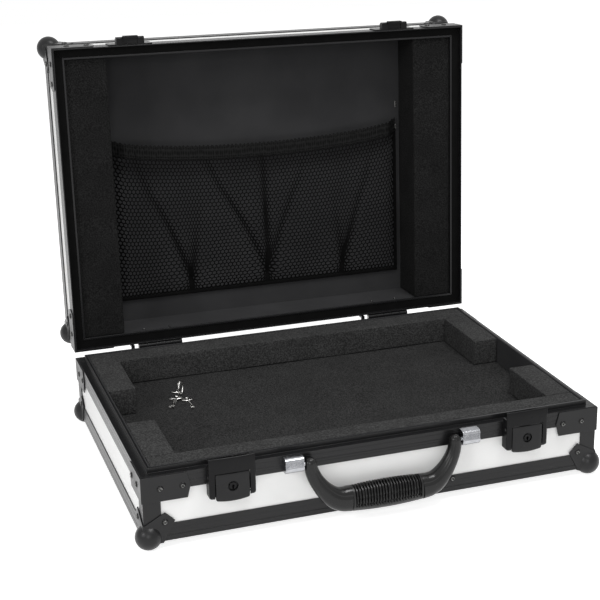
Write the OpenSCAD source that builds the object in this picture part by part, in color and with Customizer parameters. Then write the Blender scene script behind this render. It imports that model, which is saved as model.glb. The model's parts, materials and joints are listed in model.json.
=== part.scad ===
/* [Case] */
// Width of the case over its profiles
case_w = 460; // [400:1:560]
// Depth of the case, front face to back face
case_d = 327; // [280:1:420]
// Height of the base, underside to parting plane
base_h = 66; // [60:1:90]
// Height of the lid, parting plane to top
lid_h = 62; // [56:1:90]
// Angle at which the lid rests on its hinge stops
lid_open = 92; // [90:1:95]

/* [Boards and linings] */
// Thickness of the laminated wall boards
wall_t = 6.3; // [5:0.1:6.6]
// Thickness of the bottom and top boards
panel_t = 4; // [3:0.1:6]
// Thickness of the dark lining on the walls
lining_t = 1.5; // [1:0.1:2.5]
// Thickness of the lining sheet under the lid's top board
sheet_t = 1; // [0.6:0.1:2]

/* [Profiles] */
// Thickness of the aluminium profiles' outer legs
skin_t = 1.2; // [1:0.1:1.5]
// Width of the angle profiles along the outer edges
edge_leg = 17; // [14:0.5:22]
// Height of the closing profiles' outer legs
rim_leg = 16; // [13:0.5:22]
// Height of the base's tongue above the parting plane
tongue_h = 5; // [3.5:0.1:7]
// Thickness of the tongue and of the lid's inner lip
tongue_t = 2; // [1.5:0.1:2.2]
// Clearance between the tongue and the lid's lip
tongue_gap = 0.5; // [0.4:0.05:1]
// Gap left at each mitre between two profiles or boards
mitre_gap = 0.1; // [0.06:0.02:0.4]
// Leg of the upright corner angles
post_leg = 16.7; // [12:0.1:22]

/* [Corners] */
// Radius of the ball corners
ball_r = 12.5; // [10:0.1:16]
// How far a ball's centre lies inside each face
ball_inset = 4.8; // [3:0.1:7]
// Thickness of ball corner wings, braces and hinge leaves
plate_t = 1.2; // [0.8:0.1:1.6]
// Reach of a ball corner's wing along an edge
wing_l = 29; // [24:0.5:36]
// Width of a wing at its root
wing_root = 17.5; // [12:0.5:20]
// Width of a wing's cut end, along the edge
wing_end = 9; // [6:0.5:12]
// Length of a corner brace's leg
brace_l = 45; // [35:1:60]
// Height of a corner brace
brace_h = 25; // [18:0.5:30]
// Radius of the rivet heads
rivet_r = 3.1; // [1.5:0.1:3.5]
// Height of the rivet heads
rivet_h = 1.2; // [0.5:0.1:1.5]

/* [Foam] */
// Height of the pocket's walls
pocket_h = 28.5; // [15:0.5:40]
// Thickness of the foam strip in front of the pocket
front_foam = 22; // [15:0.5:40]
// Thickness of the foam strip behind the pocket
back_foam = 28.5; // [15:0.5:40]
// Thickness of the foam on each side of the pocket
side_foam = 28.5; // [15:0.5:40]
// Distance from the front foam to the finger notches
notch_from = 84; // [60:1:110]
// Length of each finger notch
notch_l = 87; // [60:1:110]
// Width of the lid's foam strips
lid_foam_w = 45.5; // [25:0.5:60]
// Depth of the lid's foam strips behind the parting plane
lid_foam_set = 9; // [8.5:0.5:15]

/* [Net pocket] */
// Gap between the net and the foam strip on each side
net_side = 5.5; // [4:0.5:20]
// Height of the net with its hem
net_h = 176; // [120:2:200]
// Gap from the hinge wall's lining to the net's sewn edge
net_up = 25; // [15:1:40]
// How far the net's mouth stands off the lid's sheet
net_mouth = 11; // [8:0.5:16]
// How far the net stands off at its gathers
net_pinch = 7.5; // [6:0.5:8]
// Thickness of the net's strands
net_t = 0.9; // [0.6:0.1:1.5]
// Height of the elastic hem
hem_h = 13; // [8:1:18]
// Thickness of the elastic hem
hem_t = 1.6; // [1:0.1:2.5]
// Width of the tapes that the net is sewn to
tape_w = 3; // [2:0.5:6]

/* [Latches] */
// Distance of each latch's middle from the case's side
latch_in = 81.5; // [75:0.5:110]
// Width of a latch housing
housing_w = 44; // [40:0.5:50]
// How far a housing stands out from the wall
housing_out = 11.5; // [11.3:0.1:13]
// How far the housing reaches below the parting plane
housing_drop = 28; // [25:0.5:32]
// Height of the housing above the parting plane
housing_up = 11.5; // [10:0.5:15]
// Wall of the housing
housing_t = 1.5; // [1.2:0.1:1.6]
// Width of a latch lever
lever_w = 32.5; // [28:0.5:36]
// How far a lever hangs below its housing
lever_drop = 3.5; // [2:0.5:6]
// How far a lever's lower edge bows down
lever_bow = 1.6; // [0.5:0.1:3]
// Radius of the latch pins
latch_pin_r = 1.5; // [1:0.1:1.8]
// Running clearance of pins and lock cylinders
run_gap = 0.05; // [0.02:0.01:0.1]
// Radius of a lock cylinder
lock_r = 5; // [4:0.1:6]
// Clearance between pieces that move past each other
move_gap = 0.35; // [0.3:0.05:0.6]

/* [Handle] */
// Distance of each handle bracket from the middle
bracket_x = 89; // [75:0.5:105]
// Width of a handle bracket
bracket_w = 18; // [14:0.5:24]
// How far a bracket stands out from the wall
bracket_out = 11.5; // [10:0.5:15]
// Height of a bracket
bracket_h = 15; // [12:0.5:18]
// Distance of the handle's pivot from the wall
pivot_out = 7; // [6.7:0.1:8]
// Radius of the handle's pivot pins
handle_pin_r = 2; // [1.5:0.1:2.5]
// Distance from the pivots to the middle of the grip
grip_drop = 40.5; // [34:0.5:60]
// Length of the ribbed grip
grip_l = 72; // [60:1:90]
// Height of the grip
grip_h = 26; // [22:0.5:30]
// Thickness of the grip, front to back
grip_t = 20; // [16:0.5:22]
// Number of ribs round the grip
grip_ribs = 23; // [8:1:24]

/* [Hinges] */
// Distance of each hinge's middle from the case's side
hinge_in = 94; // [70:1:120]
// Length of a hinge
hinge_l = 49; // [36:1:60]
// Radius of the hinge barrel
barrel_r = 3; // [2.5:0.1:3.05]
// Radius of the hinge pin
hinge_pin_r = 1.3; // [1:0.1:1.6]
// Distance of the hinge axis behind the back face
hinge_out = 3.4; // [3.4:0.1:4]
// Height of the hinge axis above the parting plane
hinge_up = 3.2; // [3.2:0.1:4]
// Height of a hinge leaf on the wall
leaf_h = 19; // [14:0.5:24]

/* [Keys] */
// Length of a key
key_l = 30; // [20:0.5:35]
// Thickness of a key
key_t = 1.6; // [1:0.1:2]
// Radius of a key's bow
key_bow_r = 5.5; // [4:0.1:8]
// Distance of the keys from the pocket's left side
keys_side = 49.5; // [30:0.5:80]
// Distance of the keys from the pocket's back
keys_back = 61.5; // [30:0.5:80]
// Radius of the ring that holds the keys
ring_r = 8; // [6:0.5:12]
// Radius of the ring's wire
ring_wire_r = 0.8; // [0.5:0.1:1.2]

/* [Hidden] */
$fn = 48;
hull_fn = 28;
sides = [-1, 1];

// Depths into the wall, counted from the outer face of the profiles.
board_in = skin_t + wall_t;
tongue_in = board_in + tongue_t;
lining_in = tongue_in + lining_t;
lip_out = tongue_in + tongue_gap;
lip_in = lip_out + tongue_t;

// Levels in the base, counted from its underside.
floor_z = skin_t + panel_t;
foam_top = base_h + tongue_h;
pocket_z = foam_top - pocket_h;
rim_z0 = base_h - rim_leg;

// Levels in the lid, counted from the parting plane.
lid_board_z = lid_h - skin_t - panel_t;
lid_sheet_z = lid_board_z - sheet_t;
lip_z = tongue_h + tongue_gap;
web_z = lip_z + 1;
web_t = 1.5;
lid_rim_leg = rim_leg + 4;

// The handle hangs as close to the wall as its arms' thickest part lets it.
arm_swell = 0.5;
handle_clear = 0.8;
handle_rest = asin((grip_t / 2 + arm_swell + handle_clear - pivot_out) / (grip_drop - 1.5));

// The part's frame: floor level under the balls, middle of the resting box.
ball_out = ball_r - ball_inset;
lift = ball_out;
grip_reach = pivot_out + grip_drop * sin(handle_rest) + grip_t / 2 + (grip_h - grip_t) / 2 * sin(handle_rest);
lid_back = lid_reach(lid_h - ball_inset - hinge_up, ball_inset - case_d - hinge_out) + ball_r;
front_y = -grip_reach;
back_y = case_d + hinge_out + lid_back;
mid_y = (front_y + back_y) / 2;
function lid_reach(up, back) = back * cos(lid_open) + up * sin(lid_open);

// Pocket and foam.
foam_y0 = lining_in;
foam_y1 = case_d - lining_in;
pocket_y0 = foam_y0 + front_foam;
pocket_y1 = foam_y1 - back_foam;
notch_y0 = pocket_y0 + notch_from;
notch_y1 = notch_y0 + notch_l;
inner_w = case_w - 2 * lining_in;
pocket_w = inner_w - 2 * side_foam;

// Net pocket: its bays lie between gathers, as shares of its width.
net_w = inner_w - 2 * (lid_foam_w + net_side);
net_bottom = case_d - lining_in - net_up;
net_bays = [0, 0.28, 0.57, 0.84, 1];
net_rows = 8;
net_cols = 2;
fold_gap = 0.3;
staple_l = 7;
staple_t = 0.6;

// Latch mechanism: out from the wall and up from the underside.
latch_x = case_w / 2 - latch_in;
housing_z0 = base_h - housing_drop;
latch_u = 7;
latch_z = base_h - 6.7;
hub_r = 3.2;
lever_half = lever_w / 2;
window_half = lever_half + move_gap;
lever_front = housing_out - 0.3;
lever_t = 2;
lever_round = 1.5;
lever_top = latch_z + 3;
lock_z = housing_z0 + 11.5;
nose_z = base_h + 0.2;
nose_h = 2;
nose_u = latch_u + 1.3;
pawl_u = latch_u - 0.4;
pawl_t = 2;
pawl_w = 12;
spring_t = 0.5;
spring_w = 10;
spring_foot = 8.8;
striker_t = 1.1;
striker_u = nose_u + move_gap;
striker_lip_h = 1.2;
catch_w = 29.5;
catch_flange_w = 46;
catch_post_w = 7;
catch_block_h = 8.4;
catch_h = 18;

// Handle.
pivot_z = base_h - 8.5;
arm_top_r = 5.8;
arm_bend_r = 7;
arm_side = bracket_x - bracket_w / 2 - move_gap - 0.6;
grip_end = grip_l / 2;

// Rivets: of the bottom profiles, the hinges and the catches.
foot_rivet_x = [-bracket_x * 0.6, bracket_x * 0.835];
foot_rivet_z = edge_leg - 3.5;
hinge_rivet_x = hinge_l * 0.3;
leaf_rivet_z = leaf_h * 0.6;
catch_rivet_x = catch_w * 0.33;
inner_rivet_r = 1.8;

// Hinges.
hinge_x = case_w / 2 - hinge_in;
axis_y = case_d + hinge_out;
axis_z = base_h + hinge_up;
knuckle_l = (hinge_l - 4 * move_gap) / 5;
leaf_off = 0.4;
leaf_t = 1.4;
lug_w = 3.5;
lug_gap = 4.5;

// Places a piece of the base, given in case coordinates.
module on_base() {
    translate([0, -mid_y, lift]) children();
}

// Places a piece of the lid, given in closed coordinates from the parting plane.
module on_lid() {
    on_base()
        translate([0, axis_y, axis_z])
            rotate([-lid_open, 0, 0])
                translate([0, -axis_y, -hinge_up])
                    children();
}

// A bar along one side of the case between two depths, mitred at 45 degrees.
module side_bar(side, s0, s1, z0, z1) {
    along = (side < 2) ? case_w : case_d;
    away = (side < 2) ? case_d : case_w;
    turn = [0, 180, 270, 90][side];
    half = along / 2 - mitre_gap / 2;
    translate([0, case_d / 2, z0])
        rotate([0, 0, turn])
            translate([0, -away / 2, 0])
                linear_extrude(z1 - z0)
                    polygon([[s0 - half, s0], [half - s0, s0], [half - s1, s1], [s1 - half, s1]]);
}

// The four bars of a frame.
module frame_bars(s0, s1, z0, z1) {
    for (side = [0:3])
        side_bar(side, s0, s1, z0, z1);
}

// An angle profile along each outer edge, its flat leg at the low end.
module edge_angles() {
    for (side = [0:3])
        union() {
            side_bar(side, 0, skin_t, 0, edge_leg);
            side_bar(side, 0, edge_leg, 0, skin_t);
        }
}

// An upright angle at each corner, between two levels.
module posts(z0, z1) {
    for (x = [0, 1], y = [0, 1])
        at_corner(x, y)
            difference() {
                translate([0, 0, z0])
                    cube([post_leg, post_leg, z1 - z0]);
                translate([skin_t, skin_t, z0 - 1])
                    cube([post_leg, post_leg, z1 - z0 + 2]);
            }
}

// Carries a shape drawn at the front left corner to any corner.
module at_corner(x, y) {
    translate([(x - 0.5) * case_w, y * case_d, 0])
        mirror([x, 0, 0])
            mirror([0, y, 0])
                children();
}

// One ball corner for an outer corner at the origin, its case towards + + +.
module ball_corner() {
    wing = [[-plate_t, -plate_t], [wing_root, -plate_t], [wing_l, wing_l - wing_end],
            [wing_l - wing_end, wing_l], [-plate_t, wing_root]];
    difference() {
        union() {
            translate([ball_inset, ball_inset, ball_inset])
                sphere(r = ball_r);
            for (face = [0:2])
                rotate(face == 0 ? [0, 0, 0] : face == 1 ? [90, 0, 90] : [0, -90, -90])
                    translate([0, 0, -plate_t])
                        linear_extrude(plate_t)
                            polygon(wing);
        }
        cube(case_d / 4);
    }
}

// One corner brace wrapping an upright edge, its lower edge at zero.
module corner_brace() {
    clip = brace_h * 0.13;
    side = [[-plate_t, 0], [brace_l - clip, 0], [brace_l, brace_h / 2],
            [brace_l - clip, brace_h], [-plate_t, brace_h]];
    difference() {
        union() {
            rotate([90, 0, 0])
                linear_extrude(plate_t)
                    polygon(side);
            rotate([90, 0, 90])
                translate([0, 0, -plate_t])
                    linear_extrude(plate_t)
                        polygon(side);
        }
        cube([brace_l * 2, brace_l * 2, brace_h]);
    }
}

// A rivet head standing on a face at the origin, pointing towards -Y.
module rivet(r = rivet_r) {
    rotate([90, 0, 0])
        cylinder(r1 = r, r2 = r * 0.7, h = rivet_h);
}

// The rivets of one corner: ball wings, and braces from a level up.
module corner_rivets(brace_z) {
    wing_mid = wing_l - wing_end - 0.5;
    places = [[wing_mid, wing_mid], [brace_l * 0.37, brace_z], [brace_l * 0.83, brace_z]];
    for (p = places) {
        translate([p[0], -plate_t, p[1]])
            rivet();
        mirror([1, -1, 0])
            translate([p[0], -plate_t, p[1]])
                rivet();
    }
    translate([wing_mid, wing_mid, -plate_t])
        rotate([90, 0, 0])
            rivet();
}

// ---- Base ----

module base_bottom_board() {
    color("gainsboro") on_base()
        translate([skin_t - case_w / 2, skin_t, skin_t])
            cube([case_w - 2 * skin_t, case_d - 2 * skin_t, panel_t]);
}

module base_wall_boards() {
    color("whitesmoke") on_base()
        frame_bars(skin_t, board_in, floor_z, base_h - skin_t);
}

module base_edge_profiles() {
    color("dimgray") on_base()
        edge_angles();
}

module base_corner_posts() {
    color("dimgray") on_base()
        posts(edge_leg, rim_z0);
}

// Closing profile: outer leg, web over the board, and the inner leg with the tongue.
module base_rim_profiles() {
    color("dimgray") on_base()
        for (side = [0:3])
            union() {
                side_bar(side, 0, skin_t, rim_z0, base_h);
                side_bar(side, 0, tongue_in, base_h - skin_t, base_h);
                side_bar(side, board_in, tongue_in, rim_z0, foam_top);
            }
}

module base_lining() {
    color("#303030") on_base()
        for (side = [0:3])
            union() {
                side_bar(side, board_in, lining_in, floor_z, rim_z0);
                side_bar(side, tongue_in, lining_in, rim_z0, foam_top);
            }
}

module base_ball_corners() {
    color("#2b2b2b") on_base()
        for (x = [0, 1], y = [0, 1])
            at_corner(x, y)
                ball_corner();
}

module base_corner_braces() {
    color("#2b2b2b") on_base()
        for (x = [0, 1], y = [0, 1])
            at_corner(x, y)
                translate([0, 0, base_h - brace_h - 0.5])
                    corner_brace();
}

module base_rivets() {
    color("#262626") on_base() {
        for (x = [0, 1], y = [0, 1])
            at_corner(x, y)
                corner_rivets(base_h - brace_h / 2 - 0.5);
        for (x = foot_rivet_x, y = [0, 1])
            translate([x, y * case_d, foot_rivet_z])
                mirror([0, y, 0])
                    rivet();
        for (x = sides, s = sides)
            translate([x * hinge_x + s * hinge_rivet_x, case_d + leaf_t, base_h - leaf_rivet_z])
                mirror([0, 1, 0])
                    rivet();
    }
}

// ---- Foam in the base ----

module foam_block(x0, x1, y0, y1, z0, z1) {
    translate([x0, y0, z0])
        cube([x1 - x0, y1 - y0, z1 - z0]);
}

module foam_floor() {
    color("#262626") on_base()
        foam_block(-inner_w / 2, inner_w / 2, foam_y0, foam_y1, floor_z, pocket_z);
}

module foam_front_strip() {
    color("#3a3a3a") on_base()
        foam_block(-inner_w / 2, inner_w / 2, foam_y0, pocket_y0, pocket_z, foam_top);
}

module foam_back_strip() {
    color("#3a3a3a") on_base()
        foam_block(-inner_w / 2, inner_w / 2, pocket_y1, foam_y1, pocket_z, foam_top);
}

// Two blocks on each side, with the finger notch between them.
module foam_side_blocks() {
    color("#3a3a3a") on_base()
        for (s = [0, 1])
            mirror([s, 0, 0]) {
                foam_block(pocket_w / 2, inner_w / 2, pocket_y0, notch_y0, pocket_z, foam_top);
                foam_block(pocket_w / 2, inner_w / 2, notch_y1, pocket_y1, pocket_z, foam_top);
            }
}

// ---- Latches ----

// Turns a profile drawn as (out from the wall, up) into a bar along X.
module wall_bar(x0, x1) {
    translate([x0, 0, 0])
        rotate([90, 0, 0])
            rotate([0, -90, 0])
                mirror([0, 0, 1])
                    linear_extrude(x1 - x0)
                        children();
}

// The formed housing: front plate with the lever's window and two side walls, open on top.
module latch_housing() {
    top = base_h + housing_up;
    half = housing_w / 2;
    inner = housing_out - housing_t;
    flange_gap = plate_t + move_gap;
    shell = [[0, housing_z0], [housing_out - 1.5, housing_z0], [housing_out, housing_z0 + 3],
             [housing_out, top - 3], [housing_out - 0.6, top - 0.6], [inner, top],
             [flange_gap, top - 1], [flange_gap, base_h - move_gap], [0, base_h - move_gap]];
    hollow = [[-1, housing_z0 - 1], [inner, housing_z0 - 1], [inner, top + 1], [-1, top + 1]];
    window = [[0, housing_z0 - 2], [housing_out + 1, housing_z0 - 2], [housing_out + 1, lever_top],
              [housing_out, lever_top + move_gap], [inner, lever_top + move_gap + 1.6],
              [0, lever_top + move_gap + 1.6]];
    difference() {
        wall_bar(-half, half)
            polygon(shell);
        wall_bar(housing_t - half, half - housing_t)
            polygon(hollow);
        wall_bar(-window_half, window_half)
            polygon(window);
        translate([-half - 1, -latch_u, latch_z])
            rotate([0, 90, 0])
                cylinder(r = latch_pin_r, h = housing_w + 2);
    }
}

// A lever seen from the front: its lower edge is an arc and its corners are round.
module lever_face(low) {
    arc_r = (pow(lever_half, 2) + pow(lever_bow, 2)) / (2 * lever_bow);
    offset(r = lever_round)
        offset(delta = -lever_round)
            intersection() {
                translate([-lever_half, low])
                    square([lever_w, lever_top - low]);
                translate([0, low + arc_r])
                    circle(r = arc_r, $fn = 180);
            }
}

// The lever: front flap, hub on the pin and the pawl that holds the striker.
module latch_lever() {
    back = lever_front - lever_t;
    low = housing_z0 - lever_drop;
    flap = [[back, low + 1], [lever_front - 1, low], [lever_front, low + 2.5],
            [lever_front + 0.3, (low + lever_top) / 2], [lever_front, lever_top - 0.8],
            [lever_front - 0.8, lever_top], [latch_u, lever_top], [latch_u - 2, latch_z],
            [latch_u, latch_z - 4], [back, latch_z - 7]];
    pawl = [[latch_u - pawl_t, latch_z], [latch_u + pawl_t, latch_z], [pawl_u, nose_z - nose_h],
            [pawl_u, nose_z], [nose_u, nose_z], [nose_u - 0.8, nose_z + nose_h],
            [pawl_u - pawl_t, nose_z + nose_h]];
    difference() {
        union() {
            intersection() {
                wall_bar(-lever_half, lever_half)
                    polygon(flap);
                rotate([90, 0, 0])
                    linear_extrude(housing_out + 1)
                        lever_face(low);
            }
            translate([-lever_half, -latch_u, latch_z])
                rotate([0, 90, 0])
                    cylinder(r = hub_r, h = lever_w);
            wall_bar(-pawl_w / 2, pawl_w / 2)
                polygon(pawl);
            translate([0, 2 - lever_front, lock_z])
                rotate([90, 0, 0])
                    cylinder(r = lock_r + 2, h = 1);
        }
        translate([-lever_half - 1, -latch_u, latch_z])
            rotate([0, 90, 0])
                cylinder(r = latch_pin_r + run_gap, h = lever_w + 2);
        translate([0, 1, lock_z])
            rotate([90, 0, 0])
                cylinder(r = lock_r + run_gap, h = housing_out + 3);
    }
}

// The lock: a cylinder with a keyhole, and a cam behind the lever.
module lock_cylinder() {
    face = lever_front + 0.6;
    difference() {
        union() {
            translate([0, -face, lock_z])
                rotate([-90, 0, 0])
                    cylinder(r = lock_r, h = face - 5.5);
            translate([-2, -6.7, lock_z - 2])
                cube([11, 1.2, 4]);
        }
        translate([0, -face - 1, lock_z])
            rotate([-90, 0, 0])
                cylinder(r = lock_r * 0.28, h = 3.5);
        translate([-0.6, -face - 1, lock_z - lock_r * 0.62])
            cube([1.2, 3.5, lock_r * 0.62]);
        translate([0, -face - 1, lock_z])
            rotate([-90, 0, 0])
                difference() {
                    cylinder(r = lock_r * 0.8, h = 1.4);
                    cylinder(r = lock_r * 0.62, h = 1.4);
                }
    }
}

module latch_housing_left() {
    color("#2f2f2f") on_base() translate([-latch_x, 0, 0]) latch_housing();
}

module latch_housing_right() {
    color("#2f2f2f") on_base() translate([latch_x, 0, 0]) latch_housing();
}

module latch_lever_left() {
    color("#343434") on_base() translate([-latch_x, 0, 0]) latch_lever();
}

module latch_lever_right() {
    color("#343434") on_base() translate([latch_x, 0, 0]) latch_lever();
}

module lock_cylinder_left() {
    color("#222222") on_base() translate([-latch_x, 0, 0]) lock_cylinder();
}

module lock_cylinder_right() {
    color("#222222") on_base() translate([latch_x, 0, 0]) lock_cylinder();
}

module latch_pins() {
    color("silver") on_base()
        for (s = sides)
            translate([s * latch_x - housing_w / 2, -latch_u, latch_z])
                rotate([0, 90, 0])
                    cylinder(r = latch_pin_r, h = housing_w);
}

// A bowed leaf spring on the wall behind each lever's hub.
module latch_springs() {
    bow = latch_u - hub_r - move_gap;
    seat = spring_foot / 2;
    leaf = [[0, -spring_foot], [spring_t, -spring_foot], [spring_t, -seat], [bow, -spring_t],
            [bow, spring_t], [bow - spring_t * 1.4, spring_t * 3],
            [bow - spring_t * 2.2, spring_t * 2.4], [bow - spring_t, spring_t * 0.7],
            [bow - spring_t, -spring_t * 0.7], [0, spring_t * 0.6 - seat]];
    color("darkgray") on_base()
        for (s = sides)
            translate([s * latch_x, 0, latch_z])
                wall_bar(-spring_w / 2, spring_w / 2)
                    polygon(leaf);
}

// The catch on the lid's rim: flange, two posts and the striker between them.
module latch_catch() {
    half = catch_w / 2;
    flange_z0 = 1.2;
    post = [[plate_t, flange_z0], [catch_block_h - 1, flange_z0], [catch_block_h, flange_z0 + 1],
            [catch_block_h, flange_z0 + 5], [catch_block_h - 2, flange_z0 + 8], [plate_t, flange_z0 + 8]];
    striker = [[plate_t, 2.9], [striker_u, 2.9], [striker_u, -0.2], [striker_u - 1.5, -0.2],
               [striker_u - 1.5, -0.2 - striker_lip_h], [striker_u + striker_t, -0.2 - striker_lip_h],
               [striker_u + striker_t, 4.5], [striker_u - 1, 6.5], [plate_t, 6.5]];
    translate([-catch_flange_w / 2, -plate_t, flange_z0])
        cube([catch_flange_w, plate_t, catch_h]);
    for (s = [0, 1])
        mirror([s, 0, 0])
            wall_bar(half - catch_post_w, half)
                polygon(post);
    wall_bar(-half + catch_post_w, half - catch_post_w)
        polygon(striker);
}

module latch_catch_left() {
    color("#2f2f2f") on_lid() translate([-latch_x, 0, 0]) latch_catch();
}

module latch_catch_right() {
    color("#2f2f2f") on_lid() translate([latch_x, 0, 0]) latch_catch();
}

// ---- Handle ----

// A chrome bracket: a formed shell open at the top, bored for the pivot pin.
module handle_bracket() {
    half = bracket_w / 2;
    low = base_h - bracket_h;
    shell = [[0, low], [bracket_out - 4, low], [bracket_out - 1, low + 2.5], [bracket_out, low + 6],
             [bracket_out - 0.6, base_h - 3], [bracket_out - 2.4, base_h], [0, base_h]];
    hollow = [[1.5, low + 1.5], [bracket_out - 4.6, low + 1.5], [bracket_out - 2.4, low + 3.5],
              [bracket_out - 1.5, low + 6], [bracket_out - 2.1, base_h - 3.4],
              [bracket_out - 3.9, base_h + 1], [1.5, base_h + 1]];
    difference() {
        wall_bar(-half, half)
            polygon(shell);
        wall_bar(1.5 - half, half - 1.5)
            polygon(hollow);
        translate([-half - 1, -pivot_out, pivot_z])
            rotate([0, 90, 0])
                cylinder(r = handle_pin_r + run_gap, h = 3.5);
    }
}

module handle_bracket_left() {
    color("silver") on_base() translate([-bracket_x, 0, 0]) mirror([1, 0, 0]) handle_bracket();
}

module handle_bracket_right() {
    color("silver") on_base() translate([bracket_x, 0, 0]) handle_bracket();
}

// Places a piece of the handle, drawn hanging straight down from its pivots.
module on_handle() {
    on_base()
        translate([0, -pivot_out, pivot_z])
            rotate([-handle_rest, 0, 0])
                children();
}

module ball_at(x, z, r) {
    translate([x, 0, -z]) sphere(r = r, $fn = hull_fn);
}

// Each arm swells from the pivot to the grip.
module handle_arms() {
    shoulder_x = grip_end + 16;
    bend_x = arm_side - 12.5;
    color("#333333") on_handle()
        for (s = [0, 1])
            mirror([s, 0, 0])
                difference() {
                    union() {
                        hull() {
                            ball_at(arm_side - arm_top_r, 0, arm_top_r);
                            ball_at(bend_x, grip_drop / 2, arm_bend_r);
                        }
                        hull() {
                            ball_at(bend_x, grip_drop / 2, arm_bend_r);
                            ball_at(shoulder_x, grip_drop - 3.5, grip_t / 2);
                        }
                        hull() {
                            ball_at(shoulder_x, grip_drop - 3.5, grip_t / 2);
                            ball_at(grip_end + 2, grip_drop - 1.5, grip_t / 2 + arm_swell);
                            ball_at(grip_end + 2, grip_drop + 3, grip_t / 2);
                        }
                    }
                    translate([0, -grip_t, -2 * grip_drop])
                        cube([grip_end, 2 * grip_t, 2 * grip_drop]);
                }
}

// A section with round ends, upright, carried along X.
module grip_bar(x0, x1, h, t) {
    translate([x0, 0, -grip_drop])
        rotate([0, 90, 0])
            linear_extrude(x1 - x0)
                union() {
                    for (s = sides)
                        translate([s * (h - t) / 2, 0])
                            circle(r = t / 2);
                    square([h - t, t], center = true);
                }
}

// The grip: a core with ribs between two collars.
module handle_grip() {
    collar = 3;
    pitch = (grip_l - 2 * collar) / grip_ribs;
    color("#262626") on_handle()
        union() {
            grip_bar(-grip_end, grip_end, grip_h - 2, grip_t - 2);
            for (s = sides)
                grip_bar(s * (grip_end - collar / 2) - collar / 2,
                         s * (grip_end - collar / 2) + collar / 2, grip_h, grip_t);
            for (i = [0:grip_ribs - 1])
                grip_bar(-grip_end + collar + (i + 0.25) * pitch,
                         -grip_end + collar + (i + 0.75) * pitch, grip_h, grip_t);
        }
}

// A pin from each arm into its bracket's inner wall.
module handle_pins() {
    pin_l = bracket_x - bracket_w / 2 + 1.5 - arm_side + 1;
    color("silver") on_base()
        for (s = [0, 1])
            mirror([s, 0, 0])
                translate([arm_side - 0.6, -pivot_out, pivot_z])
                    rotate([0, 90, 0])
                        cylinder(r = handle_pin_r, h = pin_l + 1);
}

// ---- Hinges, drawn round their axis with the wall towards -Y ----

module knuckle(x0, x1) {
    translate([x0, 0, 0])
        rotate([0, 90, 0])
            cylinder(r = barrel_r, h = x1 - x0);
}

// Base leaf: plate below, knuckles at both ends and in the middle.
module base_leaf() {
    half = hinge_l / 2;
    step = knuckle_l + move_gap;
    plate_top = -hinge_up - 0.5;
    difference() {
        union() {
            translate([-half - lug_gap - lug_w, -hinge_out, -hinge_up - leaf_h])
                cube([hinge_l + lug_gap + lug_w, leaf_t, plate_top + hinge_up + leaf_h]);
            for (i = [0, 2, 4]) {
                x0 = -half + i * step;
                knuckle(x0, x0 + knuckle_l);
                translate([x0, leaf_off - hinge_out, plate_top - 2])
                    cube([knuckle_l, hinge_out - leaf_off, 2 - plate_top]);
            }
            translate([-half - lug_gap - lug_w, leaf_off - hinge_out, plate_top - 1])
                cube([lug_w + 1, leaf_t - leaf_off, 2.5]);
        }
        translate([-half - 1, 0, 0])
            rotate([0, 90, 0])
                cylinder(r = hinge_pin_r, h = hinge_l + 2);
    }
}

// Lid leaf: plate above, two knuckles and the stop lug beside the barrel.
module lid_leaf() {
    half = hinge_l / 2;
    step = knuckle_l + move_gap;
    plate_low = barrel_r + 0.7;
    lug = [[-2.2, plate_low + 5], [-2.2, 2], [-1.7, 2], [-1.7, -1.7], [4.2, -1.7], [4.2, 1.6],
           [0.8, 1.6], [0.8, plate_low + 5]];
    difference() {
        union() {
            translate([-half - lug_gap - lug_w, -hinge_out, plate_low])
                cube([hinge_l + lug_gap + lug_w, leaf_t, leaf_h - plate_low]);
            for (i = [1, 3]) {
                x0 = -half + i * step;
                knuckle(x0, x0 + knuckle_l);
                translate([x0, leaf_off - hinge_out, 0])
                    cube([knuckle_l, hinge_out - leaf_off, plate_low + 0.8]);
            }
            translate([-half - lug_gap - lug_w, 0, 0])
                rotate([90, 0, 90])
                    linear_extrude(lug_w)
                        polygon(lug);
        }
        translate([-half - 1, 0, 0])
            rotate([0, 90, 0])
                cylinder(r = hinge_pin_r + run_gap, h = hinge_l + 2);
    }
}

module hinge_base_leaves() {
    color("#3a3a3a") on_base()
        for (s = sides)
            translate([s * hinge_x, axis_y, axis_z])
                base_leaf();
}

module hinge_lid_leaves() {
    color("#3a3a3a") on_lid()
        for (s = sides)
            translate([s * hinge_x, axis_y, hinge_up])
                lid_leaf();
}

module hinge_pins() {
    color("silver") on_base()
        for (s = sides)
            translate([s * hinge_x - hinge_l / 2, axis_y, axis_z])
                rotate([0, 90, 0])
                    cylinder(r = hinge_pin_r, h = hinge_l);
}

// ---- Keys on the pocket's floor ----

// A small flat key: round bow with its ring hole, and a toothed shank.
module key_shape() {
    shank = key_l - 2 * key_bow_r;
    difference() {
        union() {
            circle(r = key_bow_r);
            translate([0, -1.3])
                square([key_bow_r + shank, 2.6]);
            translate([key_bow_r + shank - 4, -3.4])
                square([3, 3]);
        }
        translate([-key_bow_r * 0.4, 0])
            circle(r = key_bow_r * 0.4);
    }
}

// Carries the keys to their place on the pocket's floor.
module at_keys() {
    translate([keys_side - pocket_w / 2, pocket_y1 - keys_back, pocket_z])
        children();
}

// Each key's place is its bow's middle and level, then the way that it points.
module keys() {
    layout = [[[-4.4, 1.2, 0], 248], [[-3.2, -1.4, key_t + 0.05], 250],
              [[7.4, -5.8, 0], 274], [[2.5, 20.5, 0], 75]];
    color("silver") on_base()
        for (k = layout)
            at_keys()
                translate(k[0])
                    rotate([0, 0, k[1]])
                        linear_extrude(key_t)
                            key_shape();
}

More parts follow.
